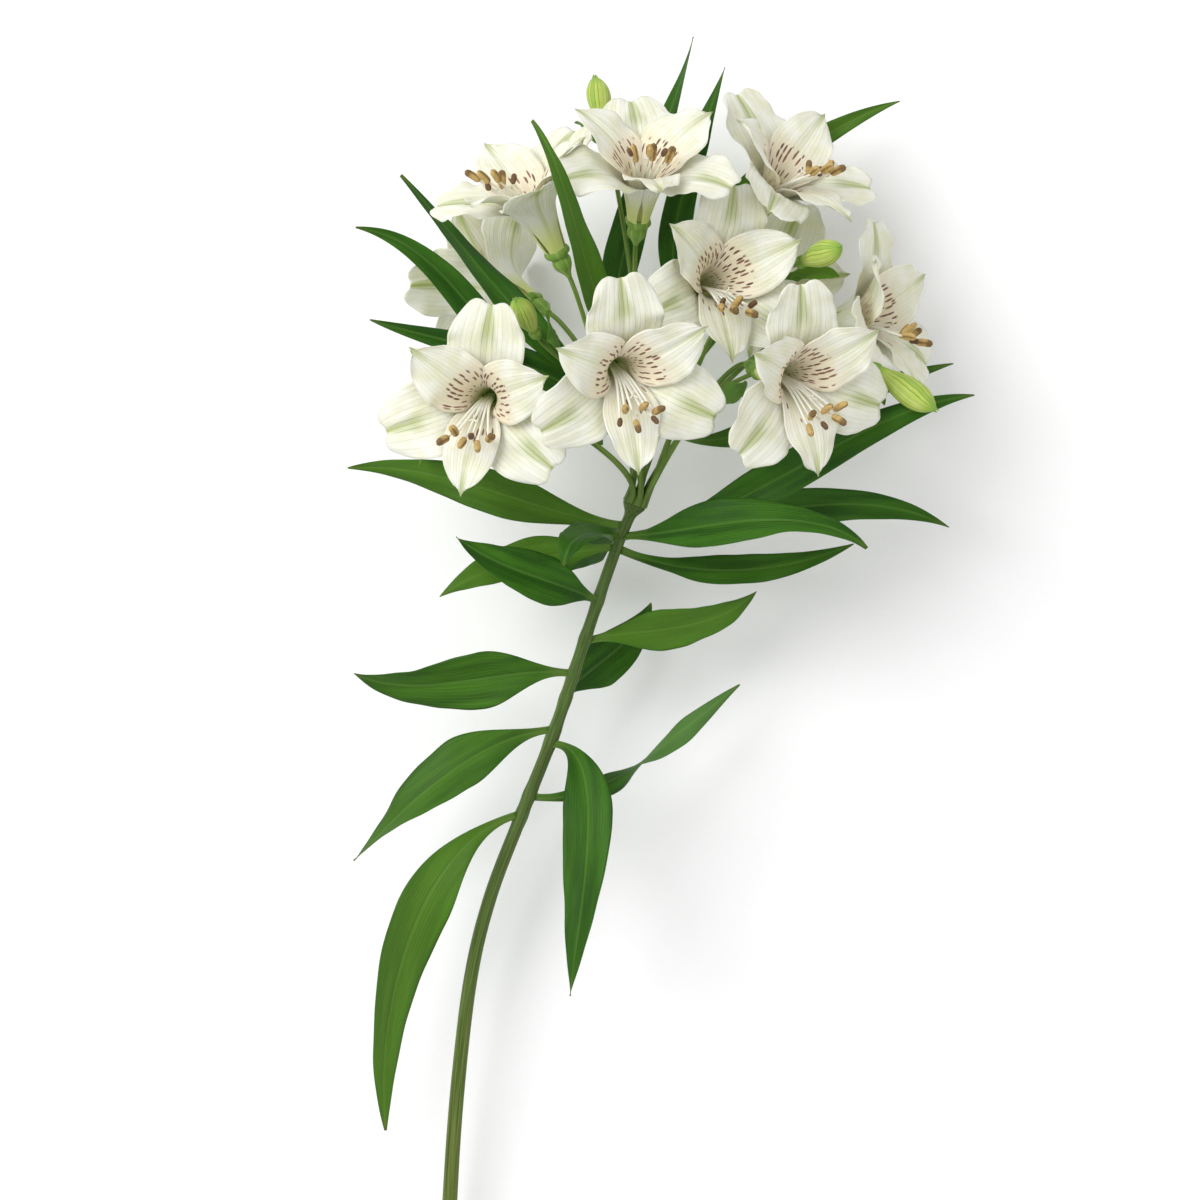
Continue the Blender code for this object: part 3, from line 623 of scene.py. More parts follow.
def ray_paint(place, share):
    """Mid green with fine streaks along it."""
    x, y, seed = place.split()
    streak = place.join(x * 1.5, y * 0.06, seed).noise(1.4)
    colour = streak.rise(0.3, 0.7).mix(*RAY_GREENS)
    foot = y.fall(0.0, 14.0)
    colour = (foot * 0.45).mix(colour, RAY_FOOT_SHADE)
    return surface(colour, 0.40 + streak * 0.15, streak.bump(0.5, 0.15))


def stem_paint(place, share):
    """Olive and yellowish near the cut, darker under the crown, streaked and specked."""
    x, y, seed = place.split()
    t = share.split()[1]
    streak = place.join(x * 0.8, y * 0.02, seed).noise(1.6, 3.0)
    tone = streak.rise(0.3, 0.7)
    low = tone.mix(*STEM_LOW)
    high = tone.mix(*STEM_HIGH)
    blush = place.join(x * 0.1, y * 0.03, seed).noise(1.0)
    colour = t.rise(0.2, 0.75).mix(low, high)
    colour = (blush.rise(0.5, 0.75) * 0.28).mix(colour, STEM_BLUSH)
    speck = place.join(x * 1.2, y * 0.5, seed).noise(2.2, 3.0).rise(0.66, 0.74)
    colour = (speck * 0.3).mix(colour, STEM_SPECK)
    return surface(colour, 0.38 + streak * 0.2, (streak + speck * 0.5).bump(0.6, 0.2))


def cut_paint(place, share):
    """The pale wet face of the cut, with dots of vessels and a greener rim."""
    t = share.split()[1]
    dots = place.node("TexVoronoi", None, {"Vector": place, "Scale": 2.2}, "Distance")
    colour = dots.fall(0.12, 0.3).mix(CUT_FLESH, CUT_DOT)
    colour = t.rise(0.72, 0.95).mix(colour, CUT_RIM)
    return surface(colour, 0.35 + dots * 0.2, dots.bump(0.6, 0.2))


def leaf_paint(place, share, young=0.0):
    """Green and satin, with parallel veins; young ones are bright, the back is paler."""
    x, y, seed = place.split()
    s, t, front = share.split()
    cloud = place.join(x * 0.5, y * 0.05, seed).noise(0.5, 3.0)
    colour = cloud.rise(0.3, 0.72).mix(*LEAF_GREENS)
    # Some leaves are lighter and yellower than others, most of all along their middle.
    light = (seed * SEED_STEP).part().rise(0.35, 0.95) * (0.65 - 0.3 * s * s) + young
    colour = (light * (0.55 + 0.45 * cloud)).mix(colour, LEAF_YOUNG)
    wander = place.join(x * 0.2, y * 0.06, seed).noise(1.0) - 0.5
    vein = (s * LEAF_VEINS + wander * 0.7).stripes().rise(0.30, 0.5)
    colour = (vein * 0.25).mix(colour, LEAF_VEIN)
    rib = x.size().fall(0.15, 0.75)
    colour = (rib * 0.28).mix(colour, LEAF_RIB)
    foot = t.fall(0.0, 0.16)
    colour = (foot * 0.6).mix(colour, LEAF_FOOT)
    tip = t.rise(0.93, 1.0)
    colour = (tip * 0.5).mix(colour, LEAF_TIP)
    colour = ((1.0 - front) * 0.45).mix(colour, LEAF_BACK)
    relief = vein * 0.7 - rib + place.noise(1.6) * 0.4
    return surface(colour, 0.36 + cloud * 0.2, relief.bump(0.7, 0.25))


def floor_paint(place, share):
    """Matte paper white."""
    grain = place.noise(0.8, 4.0)
    colour = grain.mix(*PAPER_WHITES)
    return {"Base Color": colour, "Roughness": 0.85 + grain * 0.1}


# Petals and filaments let a little light in, and green pieces have little shine.
SOFT = {"Subsurface Weight": 0.25, "Subsurface Radius": (1.0, 1.0, 0.7), "Subsurface Scale": 0.0015}
GREEN = {"Specular IOR Level": 0.14}


# Forms


def smooth(value):
    """Ease from 0 to 1."""
    value = np.clip(value, 0.0, 1.0)
    return value * value * (3.0 - 2.0 * value)


def unit(vectors):
    """Vectors made 1 long."""
    return np.array(vectors) / np.linalg.norm(vectors, axis=-1, keepdims=True)


def square_to(way, vector):
    """The part of a vector that is square to a way, made 1 long."""
    return unit(vector - way * vector.dot(way))


def hermite(start, start_slope, end, end_slope, t):
    """A point on the cubic that leaves start and reaches end with the given slopes."""
    a = 2 * t ** 3 - 3 * t ** 2 + 1
    b = t ** 3 - 2 * t ** 2 + t
    c = -2 * t ** 3 + 3 * t ** 2
    d = t ** 3 - t ** 2
    return start * a + start_slope * b + end * c + end_slope * d


def bend(start, start_way, end, end_way, count):
    """Points of a smooth bend between two places, with the ways it runs at its ends."""
    span = np.linalg.norm(end - start) * RAY_PULL
    t = np.linspace(0.0, 1.0, count)[:, None]
    return hermite(start, unit(start_way) * span, end, unit(end_way) * span, t)


def through(knots, count):
    """Evenly numbered points on a smooth curve through the given points."""
    made = []
    last = len(knots) - 1
    for place in np.linspace(0.0, last, count):
        k = min(int(place), last - 1)
        before = knots[max(k - 1, 0)]
        after = knots[min(k + 2, last)]
        slope_a = (knots[k + 1] - before) / (2 if k else 1)
        slope_b = (after - knots[k]) / (2 if k + 2 <= last else 1)
        made.append(hermite(knots[k], slope_a, knots[k + 1], slope_b, place - k))
    return np.array(made)


def run_of(line):
    """The distance along a line at each of its points."""
    steps = np.linalg.norm(np.diff(line, axis=0), axis=1)
    return np.concatenate([[0.0], np.cumsum(steps)])


def along(line, distance):
    """The place and the direction at a distance along a line."""
    run = run_of(line)
    k = min(int(np.searchsorted(run, distance)), len(line) - 1)
    way = unit(line[k] - line[k - 1])
    return line[k - 1] + way * (distance - run[k - 1]), way


def upright(way):
    """Turn +Z into the given direction."""
    return np.array(Vector(way).to_track_quat("Z", "Y").to_matrix())


def grid_shares(rows, columns):
    """Shares over a sheet: 0 to 1 along it, and -1 to 1 across it."""
    return np.meshgrid(
        np.linspace(0.0, 1.0, rows + 1), np.linspace(-1.0, 1.0, columns + 1), indexing="ij"
    )


def triples(*parts):
    """Three numbers or arrays of numbers as one array of triples."""
    return np.stack(np.broadcast_arrays(*parts), -1)


class Skin:
    """The corners, faces and marks of one piece, collected form by form."""

    def __init__(self):
        self.corners, self.faces, self.slots = [], [], []
        self.place, self.share = [], []
        self.count = 0

    def add(self, corners, faces, slot, place, share):
        """Add a form. place and share are the marks that the finishes read."""
        self.faces += [[k + self.count for k in face] for face in faces]
        self.slots += [slot] * len(faces)
        self.corners.append(corners.reshape(-1, 3))
        self.place.append(place.reshape(-1, 3))
        self.share.append(share.reshape(-1, 3))
        self.count += corners.size // 3

    def sheet(self, middle, thickness, slot, place, share):
        """A thin form round a grid of points, thinner at its long edges and its tip."""
        rows, columns = middle.shape[:2]
        ahead = np.gradient(middle, axis=0)
        side = np.gradient(middle, axis=1)
        out = unit(np.cross(side, ahead))
        s, t = share[..., 0:1], share[..., 1:2]
        tip = 1.0 - TIP_THINS * smooth((t - TIP_START) / TIP_SPAN)
        half = thickness / 2 * (1.0 - EDGE_THINS * np.abs(s) ** 6) * tip * out
        back = share.copy()
        back[..., 2] = 0.0
        k = np.arange(rows * columns).reshape(rows, columns)
        a, b, c, d = k[:-1, :-1], k[:-1, 1:], k[1:, 1:], k[1:, :-1]
        faces = np.stack([a, b, c, d], -1).reshape(-1, 4)
        edge = np.concatenate([k[0], k[1:, -1], k[-1, -2::-1], k[-2:0:-1, 0]])
        after = np.roll(edge, -1)
        size = rows * columns
        rim = np.stack([edge, edge + size, after + size, after], -1)
        every = np.concatenate([faces, faces[:, ::-1] + size, rim])
        self.add(
            np.stack([middle + half, middle - half]), every.tolist(), slot,
            np.stack([place, place]), np.stack([share, back]),
        )

    def tube(self, rings, slot, place, share):
        """A closed form through rings of corners."""
        count, sides = rings.shape[:2]
        k = np.arange(count * sides).reshape(count, sides)
        nxt = np.roll(k, -1, axis=1)
        faces = np.stack([k[:-1], nxt[:-1], nxt[1:], k[1:]], -1).reshape(-1, 4).tolist()
        faces.append(k[-1].tolist())
        self.add(rings, faces, slot, place, share)
        self.add(rings[0], [list(range(sides))[::-1]], slot, place[0], share[0])

    def rod(self, line, radii, sides, seed, slot, outline=None):
        """A closed form swept along a line."""
        rings, place, share = sweep(line, radii, sides, seed, outline)
        self.tube(rings, slot, place, share)

    def turn(self, matrix, place):
        """Turn all corners by a matrix and move them to a place."""
        self.corners = [corners @ matrix.T + place for corners in self.corners]

    def lowest(self):
        return min(corners[:, 2].min() for corners in self.corners)


def sweep(line, radii, sides, seed, outline=None):
    """Rings round a line with their marks. outline gives the share of the radius."""
    ways = unit(np.gradient(line, axis=0))
    steep = abs(ways[0][2]) >= 0.8
    side = unit(np.cross(ways[0], (1.0, 0.2, 0.1) if steep else (0.3, 0.2, 1.0)))
    turn = np.arange(sides) / sides
    angle = 2 * pi * turn
    rings = []
    run = run_of(line)
    t = run / run[-1]
    for here, way, radius, at in zip(line, ways, radii, t):
        side = square_to(way, side)
        other = np.cross(way, side)
        reach = radius * (outline(turn, at) if outline else np.ones(sides))
        rings.append(
            here + np.outer(np.cos(angle) * reach, side) + np.outer(np.sin(angle) * reach, other)
        )
    radius = np.asarray(radii)[:, None]
    place = triples(np.sin(angle) * radius, run[:, None], seed + np.cos(angle) * radius)
    return np.array(rings), place, triples(turn, t[:, None], seed)


def add_object(name, data):
    """A new object in the scene."""
    made = bpy.data.objects.new(name, data)
    bpy.context.scene.collection.objects.link(made)
    return made


def mark(mesh, name, marks):
    """Give each corner of a mesh three numbers for the finishes."""
    layer = mesh.attributes.new(name, "FLOAT_VECTOR", "POINT")
    layer.data.foreach_set("vector", np.asarray(marks, np.float32).ravel())


def dress(node, skin, finishes, packed=True):
    """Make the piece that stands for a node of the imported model, or a small extra one."""
    mesh = bpy.data.meshes.new(node + "_fine")
    corners = (np.concatenate(skin.corners) + np.array(CROWN_FROM_ORIGIN)) * MM
    mesh.from_pydata(corners.tolist(), [], skin.faces)
    for name, marks in zip(MARKS, (skin.place, skin.share)):
        mark(mesh, name, np.concatenate(marks))
    for made in finishes:
        mesh.materials.append(made)
    mesh.polygons.foreach_set("material_index", skin.slots)
    mesh.shade_smooth()
    mesh.update()
    piece = add_object(node + "_fine", mesh)
    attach(piece, "root")
    if packed:
        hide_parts(node)


# Flowers


def facing(look, roll):
    """Turn a flower so that its axis looks one way and its top tepal up the picture."""
    ahead = Vector(look).normalized()
    up = Vector((0.0, 1.0, 0.0))
    up = (up - ahead * up.dot(ahead)).normalized()
    frame = Matrix((up.cross(ahead), up, ahead)).transposed()
    return np.array(frame @ Matrix.Rotation(radians(roll), 3, "Z"))


def half_width(spec, t):
    """Half the width of a tepal at a share t of its length."""
    wide, widest = spec["width"], spec["widest"]
    rising = spec["claw"] + (wide - spec["claw"]) * smooth(t / widest) ** spec["ease"]
    past = np.clip((t - widest) / (1 - widest), 0.0, 1.0)
    falling = spec["tip"] + (wide - spec["tip"]) * (1 - past ** 2) ** spec["round"]
    return np.where(t < widest, rising, falling)


def tepal(spec, opening, chance):
    """The grid of a tepal that stands at +X of the flower's axis, with its marks."""
    first, last = spec["flare"]
    shares = np.linspace(0.0, TEPAL_OVERRUN, CURVE_STEPS + 1)
    turned = 1 / (1 + np.exp(-FLARE_SPEED * (shares - spec["turn"])))
    last = last * opening + chance.uniform(*FLARE_VARIES)
    angles = np.radians(first + (last - first) * turned)
    step = spec["length"] * TEPAL_OVERRUN / CURVE_STEPS
    out = spec["ring"] + np.concatenate([[0.0], np.cumsum(np.sin(angles[:-1]) * step)])
    up = TEPAL_START + np.concatenate([[0.0], np.cumsum(np.cos(angles[:-1]) * step)])

    t, s = grid_shares(TEPAL_ROWS, spec["columns"])
    edge = np.abs(s)
    profile = spec["lobes"] * 4 * edge * (1 - edge)
    profile += spec["point"] * np.exp(-((edge / spec["spread"]) ** 1.5))
    reach = t + smooth((t - EDGE_START) / EDGE_SPAN) ** 1.5 * profile / spec["length"]
    radius = np.interp(reach, shares, out)
    height = np.interp(reach, shares, up)
    angle = np.interp(reach, shares, angles)
    hollow = radius * (1 + LIMB_FLATTENS * smooth((t - LIMB_START) / FLAT_SPAN))
    across = half_width(spec, t)
    turn = across * s / hollow
    lift = hollow * (1 - np.cos(turn))
    # The limb waves along its edges, is creased along its midrib and leans a little.
    limb = smooth((t - LIMB_START) / LIMB_SPAN)
    phase = chance.uniform(0.0, 2 * pi, 4)
    beats = chance.uniform(*RUFFLE_BEATS, 2)
    wave = np.sin(2 * pi * beats[0] * t + phase[0]) * (s > 0)
    wave += np.sin(2 * pi * beats[1] * t + phase[1]) * (s <= 0)
    fine = np.sin(2 * pi * FINE_BEATS * beats[0] * t + 3.0 * s + phase[2])
    lift += spec["ruffle"] * limb * (edge ** 2.4 * wave + 0.3 * s ** 4 * fine)
    lift += chance.uniform(-TEPAL_LEAN, TEPAL_LEAN) * across * s * limb
    lift -= CREASE_DEPTH * limb * np.exp(-((s * across / CREASE_HALF) ** 2))
    lift += PLEAT * limb * np.cos(2 * pi * spec["pleats"] * s + phase[3]) * (1 - edge ** 4)
    recurve = np.clip((t - RECURVE_START) / RECURVE_SPAN, 0.0, 1.0) ** 2
    recurve *= chance.uniform(*spec["recurve"])
    grid = triples(
        radius - np.cos(angle) * lift,
        hollow * np.sin(turn),
        height + np.sin(angle) * (lift - recurve),
    )
    place = triples(s * across, t * spec["length"], chance.uniform(0.0, PETAL_SEEDS))
    return grid, place, triples(s, t, 1.0)


def bloom(number, opening):
    """Six tepals on a small receptacle, with the flower's axis along +Z."""
    skin = Skin()
    for index, (angle, spec, slot) in enumerate(TEPALS):
        chance = np.random.default_rng([number, index])
        grid, place, share = tepal(spec, opening, chance)
        angle += chance.uniform(-TEPAL_STRAY, TEPAL_STRAY)
        spin = np.array(Matrix.Rotation(radians(angle), 3, "Z"))
        skin.sheet((grid @ spin.T)[:, ::-1], PETAL_THICKNESS, slot, place[:, ::-1], share[:, ::-1])
    line = triples(0.0, 0.0, RECEPTACLE_HEIGHTS)
    skin.rod(line, RECEPTACLE_RADII, OVARY_SIDES, number, RECEPTACLE, six_ribs)
    return skin


def six_ribs(turn, at):
    return 1.0 + 0.07 * np.cos(12 * pi * turn)


def anther_outline(turn, at):
    """Two lobes with a groove between them."""
    return 0.64 + 0.36 * np.abs(np.cos(2 * pi * turn)) ** 0.6


def stamens(number):
    """Six stamens and a three-lobed style that lean to the lower side of the throat."""
    skin = Skin()
    chance = np.random.default_rng([number, 9])
    for index, side in enumerate(STAMEN_SIDES):
        odd = index % 2
        top = np.array([side * 2.6, -FILAMENT_DROOP[odd], FILAMENT_REACH[odd]])
        top += chance.uniform(-0.8, 0.8, 3)
        line = through([
            np.array([side * 0.28, 0.25 - 0.5 * odd, FILAMENT_FOOT]),
            np.array([side * 1.0, -2.6, 20.0]),
            top,
        ], FILAMENT_RINGS)
        radii = np.linspace(*FILAMENT_RADII, FILAMENT_RINGS)
        skin.rod(line, radii, THIN_SIDES, index, FILAMENT)
        lean = unit([side * 0.15, 0.5 if odd else -0.3, 0.8])
        spent = (number + index) % SPENT_EVERY == 0
        length = ANTHER_LENGTH * (SPENT_LENGTH if spent else 1.0)
        width = ANTHER_RADIUS * (SPENT_WIDTH if spent else 1.0)
        t = np.linspace(0.0, 1.0, ANTHER_RINGS)
        curve = np.outer(np.sin(pi * t) * 0.25, unit(np.cross(lean, (1.0, 0.0, 0.0))))
        line = top - lean * 0.7 + np.outer(t, lean * length) + curve
        radii = width * (1 - (2 * t - 1) ** 4) ** 0.5 + 0.05
        slot = SPENT_ANTHER if spent else ANTHER
        skin.rod(line, radii, ANTHER_SIDES, 7 * number + index, slot, anther_outline)
    style = through(np.array(STYLE_ROUTE), STYLE_RINGS)
    skin.rod(style, np.linspace(*STYLE_RADII, STYLE_RINGS), THIN_SIDES, 7, FILAMENT)
    for angle in (90.0, 210.0, 330.0):
        out = np.array([cos(radians(angle)), sin(radians(angle)), 0.9])
        tip = style[-1] + out * LOBE_LENGTH
        line = bend(style[-1], style[-1] - style[-2], tip, out, LOBE_RINGS)
        skin.rod(line, np.linspace(*LOBE_RADII, LOBE_RINGS), LOBE_SIDES, 8, FILAMENT)
    return skin


def bud(number, size):
    """A closed flower: three wrapped petals with keels, seams and small green points."""
    skin = Skin()
    length = BUD_LENGTH * size
    t = np.linspace(0.0, 1.0, BUD_RINGS)
    swelling = np.sin(pi / 2 * np.clip(t / BUD_WIDEST, 0.0, 1.0)) ** 1.2
    closing = (1.0 - np.clip((t - BUD_WIDEST) / (1 - BUD_WIDEST), 0.0, 1.0) ** 2.3) ** 0.8
    radii = BUD_RADIUS * np.sqrt(size) * (0.42 + 0.58 * swelling) * closing + 0.03
    line = triples(0.0, 0.0, t * length * 0.985)

    def petals(turn, at):
        local = (3 * turn) % 1.0
        keel = 0.03 * np.exp(-(((local - 0.5) / 0.10) ** 2))
        ribs = 0.006 * np.cos(2 * pi * 6 * local)
        lap = 0.05 * (1 - local) * np.sin(pi * min(max(at, 0.0), 1.0))
        return 0.97 + keel + ribs + lap

    rings, place, share = sweep(line, radii, BUD_SIDES, number, petals)
    angle = BUD_TWIST * t[:, None]
    x, y = rings[..., 0].copy(), rings[..., 1].copy()
    rings[..., 0] = x * np.cos(angle) - y * np.sin(angle)
    rings[..., 1] = x * np.sin(angle) + y * np.cos(angle)
    skin.tube(rings, BUD_SKIN, place, share)
    for k in range(3):
        at = 2 * pi * (k / 3 + 0.2)
        out = np.array([cos(at), sin(at), 0.0])
        start = out * 0.75 + np.array([0.0, 0.0, length * 0.92])
        rise = np.array([0.0, 0.0, length * 0.10]) - out * 0.3
        points = start + np.outer(np.linspace(0, 1, len(BUD_POINT_RADII)), rise)
        skin.rod(points, BUD_POINT_RADII, THIN_SIDES, k, BUD_POINT)
    return skin


# Stalks


def ovary(skin, top, way, radius, length, seed):
    """A ribbed ovary that ends in top and tapers into its stalk."""
    t = np.linspace(0.0, 1.0, OVARY_RINGS)
    line = top - np.outer(1 - t, way * length)
    form = 0.30 + 0.70 * smooth(t / 0.72) ** 0.9
    form = form * (1 - 0.14 * smooth((t - 0.75) / 0.25))
    skin.rod(line, radius * form, OVARY_SIDES, seed, OVARY, ovary_ribs)


def ovary_ribs(turn, at):
    return 1.0 + 0.10 * np.cos(12 * pi * turn) * sin(pi * min(at * 1.05, 1.0))


def ray_start(slot, crown_way):
    """Where a ray stands on the knob."""
    right = square_to(crown_way, np.array([1.0, 0.0, 0.0]))
    front = np.cross(right, crown_way)
    start = crown_way * -0.4
    if slot is not None:
        start = start + (right * cos(radians(slot)) + front * sin(radians(slot))) * RAY_RING
    return start


def ray(name, number, crown_way, seats):
    """A ray with its ovary, the stalk and ovary on its fork, and both middle lines."""
    spec = RAYS[name]
    skin = Skin()
    branch = None
    base, look = seats[name]
    foot = base - look * (OVARY_LENGTH - OVARY_SINK)
    start = ray_start(spec.slot, crown_way)
    line = np.concatenate([
        start[None], bend(start + crown_way * RAY_FOOT, crown_way, foot, look, RAY_RINGS),
    ])
    radii = np.linspace(RAY_RADIUS * 1.08, PEDICEL_RADIUS * 1.05, len(line))
    radii[:4] *= [1.25, 1.15, 1.08, 1.03]
    skin.rod(line, radii, RAY_SIDES, number, STALK)
    ovary(skin, base + look * 0.1, look, OVARY_RADIUS, OVARY_LENGTH, number)
    if spec.second:
        seat, radius, length = spec.second, OVARY_RADIUS, OVARY_LENGTH
        if spec.second == "bud":
            seat, radius, length = "bud_" + name, BUD_OVARY_RADIUS, BUD_OVARY_LENGTH
        base, way = seats[seat]
        start, heading = along(line, spec.fork * run_of(line)[-1])
        foot = base - way * (length - OVARY_SINK)
        branch = bend(start, heading, foot, way, FORK_RINGS)
        radii = np.full(FORK_RINGS, PEDICEL_RADIUS)
        skin.rod(branch, radii, RAY_SIDES, number + 0.5, STALK)
        # A low swelling where the fork leaves the ray
        spans = np.linspace(-1.0, 1.0, FORK_NODE_RINGS)
        node = np.array([start + heading * k for k in FORK_NODE_HALF * spans])
        swell = RAY_RADIUS * (0.9 + 0.45 * np.cos(1.4 * spans))
        skin.rod(node, swell, RAY_SIDES, number, STALK)
        ovary(skin, base + way * 0.1, way, radius, length, number)
    return skin, line, branch


def stem_line():
    """The middle line of the stem, from the cut end on the surface to the crown."""
    low, high = STEM_ROUTE[0][1], STEM_ROUTE[-1][1]
    first = STEM_RADIUS_CUT - CROWN_HEIGHT
    knots = [np.array([x, y, first * (high - y) / (high - low)]) for x, y in STEM_ROUTE]
    return through(knots, STEM_RINGS)


def stem(line):
    """The stem: low ridges, a swelling at each leaf, and the knob that carries the rays."""
    run = run_of(line)
    left = run[-1] - run
    radii = STEM_RADIUS_CUT + (STEM_RADIUS_CROWN - STEM_RADIUS_CUT) * run / run[-1]
    for leaf in LEAVES.values():
        if leaf.host == "stem" and leaf.distance > WHORL_END:
            bulge = np.exp(-(((left - leaf.distance) / LEAF_NODE_HALF) ** 2))
            radii = radii + LEAF_NODE_SWELL * bulge
    radii = radii + (KNOB_RADIUS - STEM_RADIUS_CROWN) * smooth(1 - left / KNOB_LENGTH) ** 1.3
    radii[-1] *= 0.8
    skin = Skin()
    rings, place, share = sweep(line, radii, STEM_SIDES, 3.0, stem_ridges)
    skin.tube(rings, BARK, place, share)
    # The cut face, a little hollow
    rings = np.array([line[0] + (rings[0] - line[0]) * k for k in CUT_RINGS])
    way = unit(line[1] - line[0])
    rings += (np.array(CUT_HOLLOW) * 0.6 - 0.06)[:, None, None] * way
    x, _, z = np.moveaxis(rings - line[0], -1, 0)
    flat = triples(x, z, 0.0)
    marks = triples(np.zeros_like(x), np.array(CUT_RINGS)[:, None], 0.0)
    skin.tube(rings[:, ::-1], CUT, flat[:, ::-1], marks[:, ::-1])
    return skin


def stem_ridges(turn, at):
    return 1.0 + 0.02 * np.cos(2 * pi * 7 * turn) + 0.012 * np.cos(2 * pi * 3 * turn + 9 * at)


# Leaves


def leaf_breadth(t):
    """The share of its breadth that a leaf has at a share t of its length."""
    falling = np.cos(pi / 2 * np.clip((t - LEAF_WIDEST) / (1 - LEAF_WIDEST), 0.0, 1.0))
    return smooth(t / LEAF_WIDEST) ** LEAF_SWELL * np.maximum(falling, 0.0) ** LEAF_TAPER


def leaf(spec, number, line):
    """A leaf that grows out of its stem or ray, folded along its rib and waved."""
    chance = np.random.default_rng([number, 77])
    centre, heading = along(line, spec.distance)
    leave = unit(spec.leave)
    outward = square_to(heading, leave)
    radius = RAY_RADIUS
    if spec.host == "stem":
        share = spec.distance / run_of(line)[-1]
        radius = STEM_RADIUS_CROWN + (STEM_RADIUS_CUT - STEM_RADIUS_CROWN) * share
    start = centre + outward * radius * 0.8
    tip = np.array(spec.tip, float)
    span = np.linalg.norm(tip - start)
    arrive = unit(spec.arrive) * span

    t, s = grid_shares(LEAF_ROWS, LEAF_COLUMNS)
    u = t[:, 0, None]
    here, beyond, before = [
        hermite(start, leave * span, tip, arrive, u + step) for step in (0.0, 0.01, -0.01)
    ]
    ahead = unit(beyond - before)
    angle = np.radians(spec.twist) * smooth(u)
    face = np.array(spec.face, float)
    face = (
        face * np.cos(angle) + np.cross(ahead, face) * np.sin(angle)
        + ahead * (ahead @ face)[:, None] * (1 - np.cos(angle))
    )
    side = unit(np.cross(ahead, face))
    out = np.cross(side, ahead)
    width = LEAF_FOOT_HALF * (1 - t) ** 2 + LEAF_TIP_HALF * t + spec.half * leaf_breadth(t)
    edge = np.abs(s)
    phase = chance.uniform(0.0, 2 * pi, 3)
    body = np.sin(pi * t) ** 0.7
    wave = 0.6 * np.sin(9.0 * t + spec.half) * s
    wave += 0.5 * body * edge ** 2 * np.sin(2 * pi * (2.6 + 0.8 * s) * t + phase[0] + 2.0 * (s > 0))
    wave += 0.16 * body * edge ** 3 * np.sin(2 * pi * 7.0 * t + phase[1] + s)
    fold = LEAF_FOLD * width * (np.sqrt(edge ** 2 + 0.01) - 0.1)
    ribs = 0.05 * body * np.cos(2 * pi * 3.25 * s)
    grid = (
        here[:, None, :] + side[:, None, :] * (width * s)[..., None]
        + out[:, None, :] * (fold + wave + ribs)[..., None]
    )
    place = triples(s * width, run_of(here)[:, None], chance.uniform(0.0, LEAF_SEEDS))
    skin = Skin()
    skin.sheet(grid, LEAF_THICKNESS, BLADE, place, triples(s, t, 1.0))
    return skin


def young_leaf(spec, number, stalk):
    """A small leaf on the stalk of a bud."""
    distance = spec.share * run_of(stalk)[-1]
    centre, heading = along(stalk, distance)
    outward = square_to(heading, np.array(spec.side))
    return leaf(
        Leaf(
            "stalk", distance, heading * 0.7 + outward * 0.7,
            centre + (heading * 0.75 + outward * 0.65) * spec.length,
            heading * 0.3 + outward * 0.9, spec.half, heading * 0.7 - outward * 0.7, spec.twist,
        ),
        number, stalk,
    )


# Room


def add_floor():
    """A plain pale floor under the stem."""
    mesh = bpy.data.meshes.new("floor")
    half, low = FLOOR_HALF, FLOOR_LOW
    mesh.from_pydata(
        [(-half, -half, low), (half, -half, low), (half, half, low), (-half, half, low)],
        [], [(0, 1, 2, 3)],
    )
    mark(mesh, "place", [corner.co / MM for corner in mesh.vertices])
    mesh.materials.append(finish("floor_paper", floor_paint, {}))
    add_object("floor", mesh)


def add_lamp(name, place, width, power):
    """A soft square lamp, turned to its target."""
    lamp = bpy.data.lights.new(name, "AREA")
    lamp.shape = "SQUARE"
    lamp.size = width
    lamp.energy = power
    made = add_object(name, lamp)
    made.location = place
    beam = Vector(LAMP_TARGET) - Vector(place)
    made.rotation_euler = beam.to_track_quat("-Z", "Y").to_euler()


def add_room():
    """Floor, lamps, sky and camera."""
    scene = bpy.context.scene
    add_floor()
    for name, facts in LAMPS.items():
        add_lamp(name, *facts)
    world = bpy.data.worlds.new("studio")
    world.use_nodes = True
    sky = world.node_tree.nodes["Background"]
    sky.inputs["Color"].default_value = (1.0, 1.0, 1.0, 1.0)
    sky.inputs["Strength"].default_value = SKY_STRENGTH
    scene.world = world
    scene.view_settings.view_transform = "Standard"
    lens = bpy.data.cameras.new("camera")
    lens.lens = CAMERA_LENS
    lens.clip_end = CAMERA_REACH
    camera = add_object("camera", lens)
    x, y, z = CROWN_FROM_ORIGIN
    camera.location = (
        (x + CAMERA_TARGET[0]) * MM, (y + CAMERA_TARGET[1]) * MM, (z + CAMERA_DISTANCE) * MM
    )
    scene.camera = camera


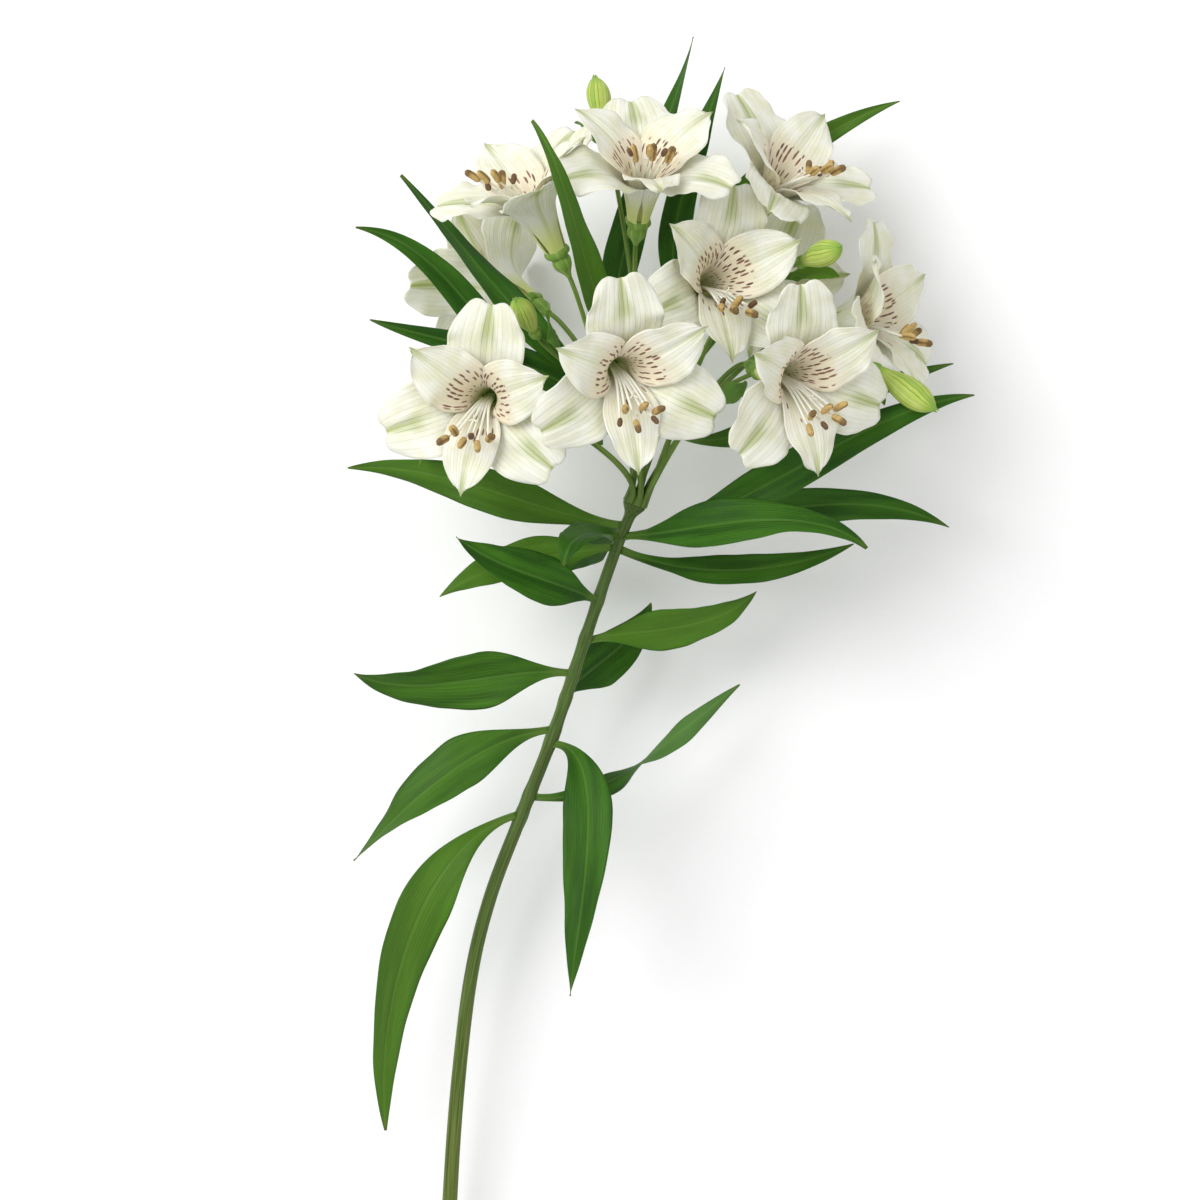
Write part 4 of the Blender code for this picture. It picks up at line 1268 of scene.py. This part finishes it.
def dress_flowers(seats):
    """Dress the blooms and stamens, and note where each flower sits and looks."""
    petals = [
        finish("petal_outer", petal_paint, SOFT),
        finish("petal_speckled", petal_paint, SOFT, SPECKLED_ZONE),
        finish("petal_lower", petal_paint, SOFT, LOWER_ZONE),
        finish("receptacle", ovary_paint, GREEN),
    ]
    threads = [
        finish("filament", filament_paint, SOFT),
        finish("anther", anther_paint, {}),
        finish("anther_spent", spent_anther_paint, {}),
    ]
    for number, (name, flower) in enumerate(FLOWERS.items()):
        turn = facing(flower.look, flower.roll)
        look = unit(flower.look)
        base = np.array(flower.face) - look * FACE_DEPTH
        petal_skin = bloom(number, flower.opening)
        petal_skin.turn(turn, 0.0)
        if flower.rests:
            base[2] = -CROWN_HEIGHT - petal_skin.lowest()
        petal_skin.turn(np.eye(3), base)
        stamen_skin = stamens(number)
        stamen_skin.turn(turn, base)
        dress("bloom_" + name, petal_skin, petals)
        dress("stamens_" + name, stamen_skin, threads)
        seats[name] = (base, look)


def dress_buds(seats):
    """Dress the buds, and note where each sits and points."""
    finishes = [
        finish("bud", bud_paint, GREEN),
        finish("bud_point", ovary_paint, GREEN),
    ]
    for number, (name, spec) in enumerate(BUDS.items()):
        way = unit(spec.way)
        base = np.array(spec.tip) - way * BUD_LENGTH * spec.size
        skin = bud(number, spec.size)
        skin.turn(upright(way), base)
        dress("bud_" + name, skin, finishes)
        seats["bud_" + name] = (base, way)


def dress_stalks_and_leaves(seats):
    """Dress the stem, the rays, and the leaves that grow from them."""
    line = stem_line()
    crown_way = unit(line[-1] - line[-2])
    bark = [finish("stem", stem_paint, GREEN), finish("stem_cut", cut_paint, GREEN)]
    dress("stem", stem(line), bark)
    greens = [finish("ray", ray_paint, GREEN), finish("ovary", ovary_paint, GREEN)]
    lines = {"stem": line[::-1]}
    stalks = {}
    for number, name in enumerate(RAYS):
        skin, lines[name], stalks[name] = ray(name, number, crown_way, seats)
        dress("ray_" + name, skin, greens)
    blades = [finish("leaf", leaf_paint, GREEN)]
    for number, (name, spec) in enumerate(LEAVES.items()):
        dress(name, leaf(spec, number, lines[spec.host]), blades)
    blades = [finish("leaf_young", leaf_paint, GREEN, YOUNG_LIGHT)]
    for number, (name, spec) in enumerate(YOUNG_LEAVES.items()):
        skin = young_leaf(spec, number + 40, stalks[name])
        dress("young_leaf_" + name, skin, blades, packed=False)


def build():
    """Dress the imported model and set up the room."""
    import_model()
    seats = {}
    dress_flowers(seats)
    dress_buds(seats)
    dress_stalks_and_leaves(seats)
    add_room()


build()
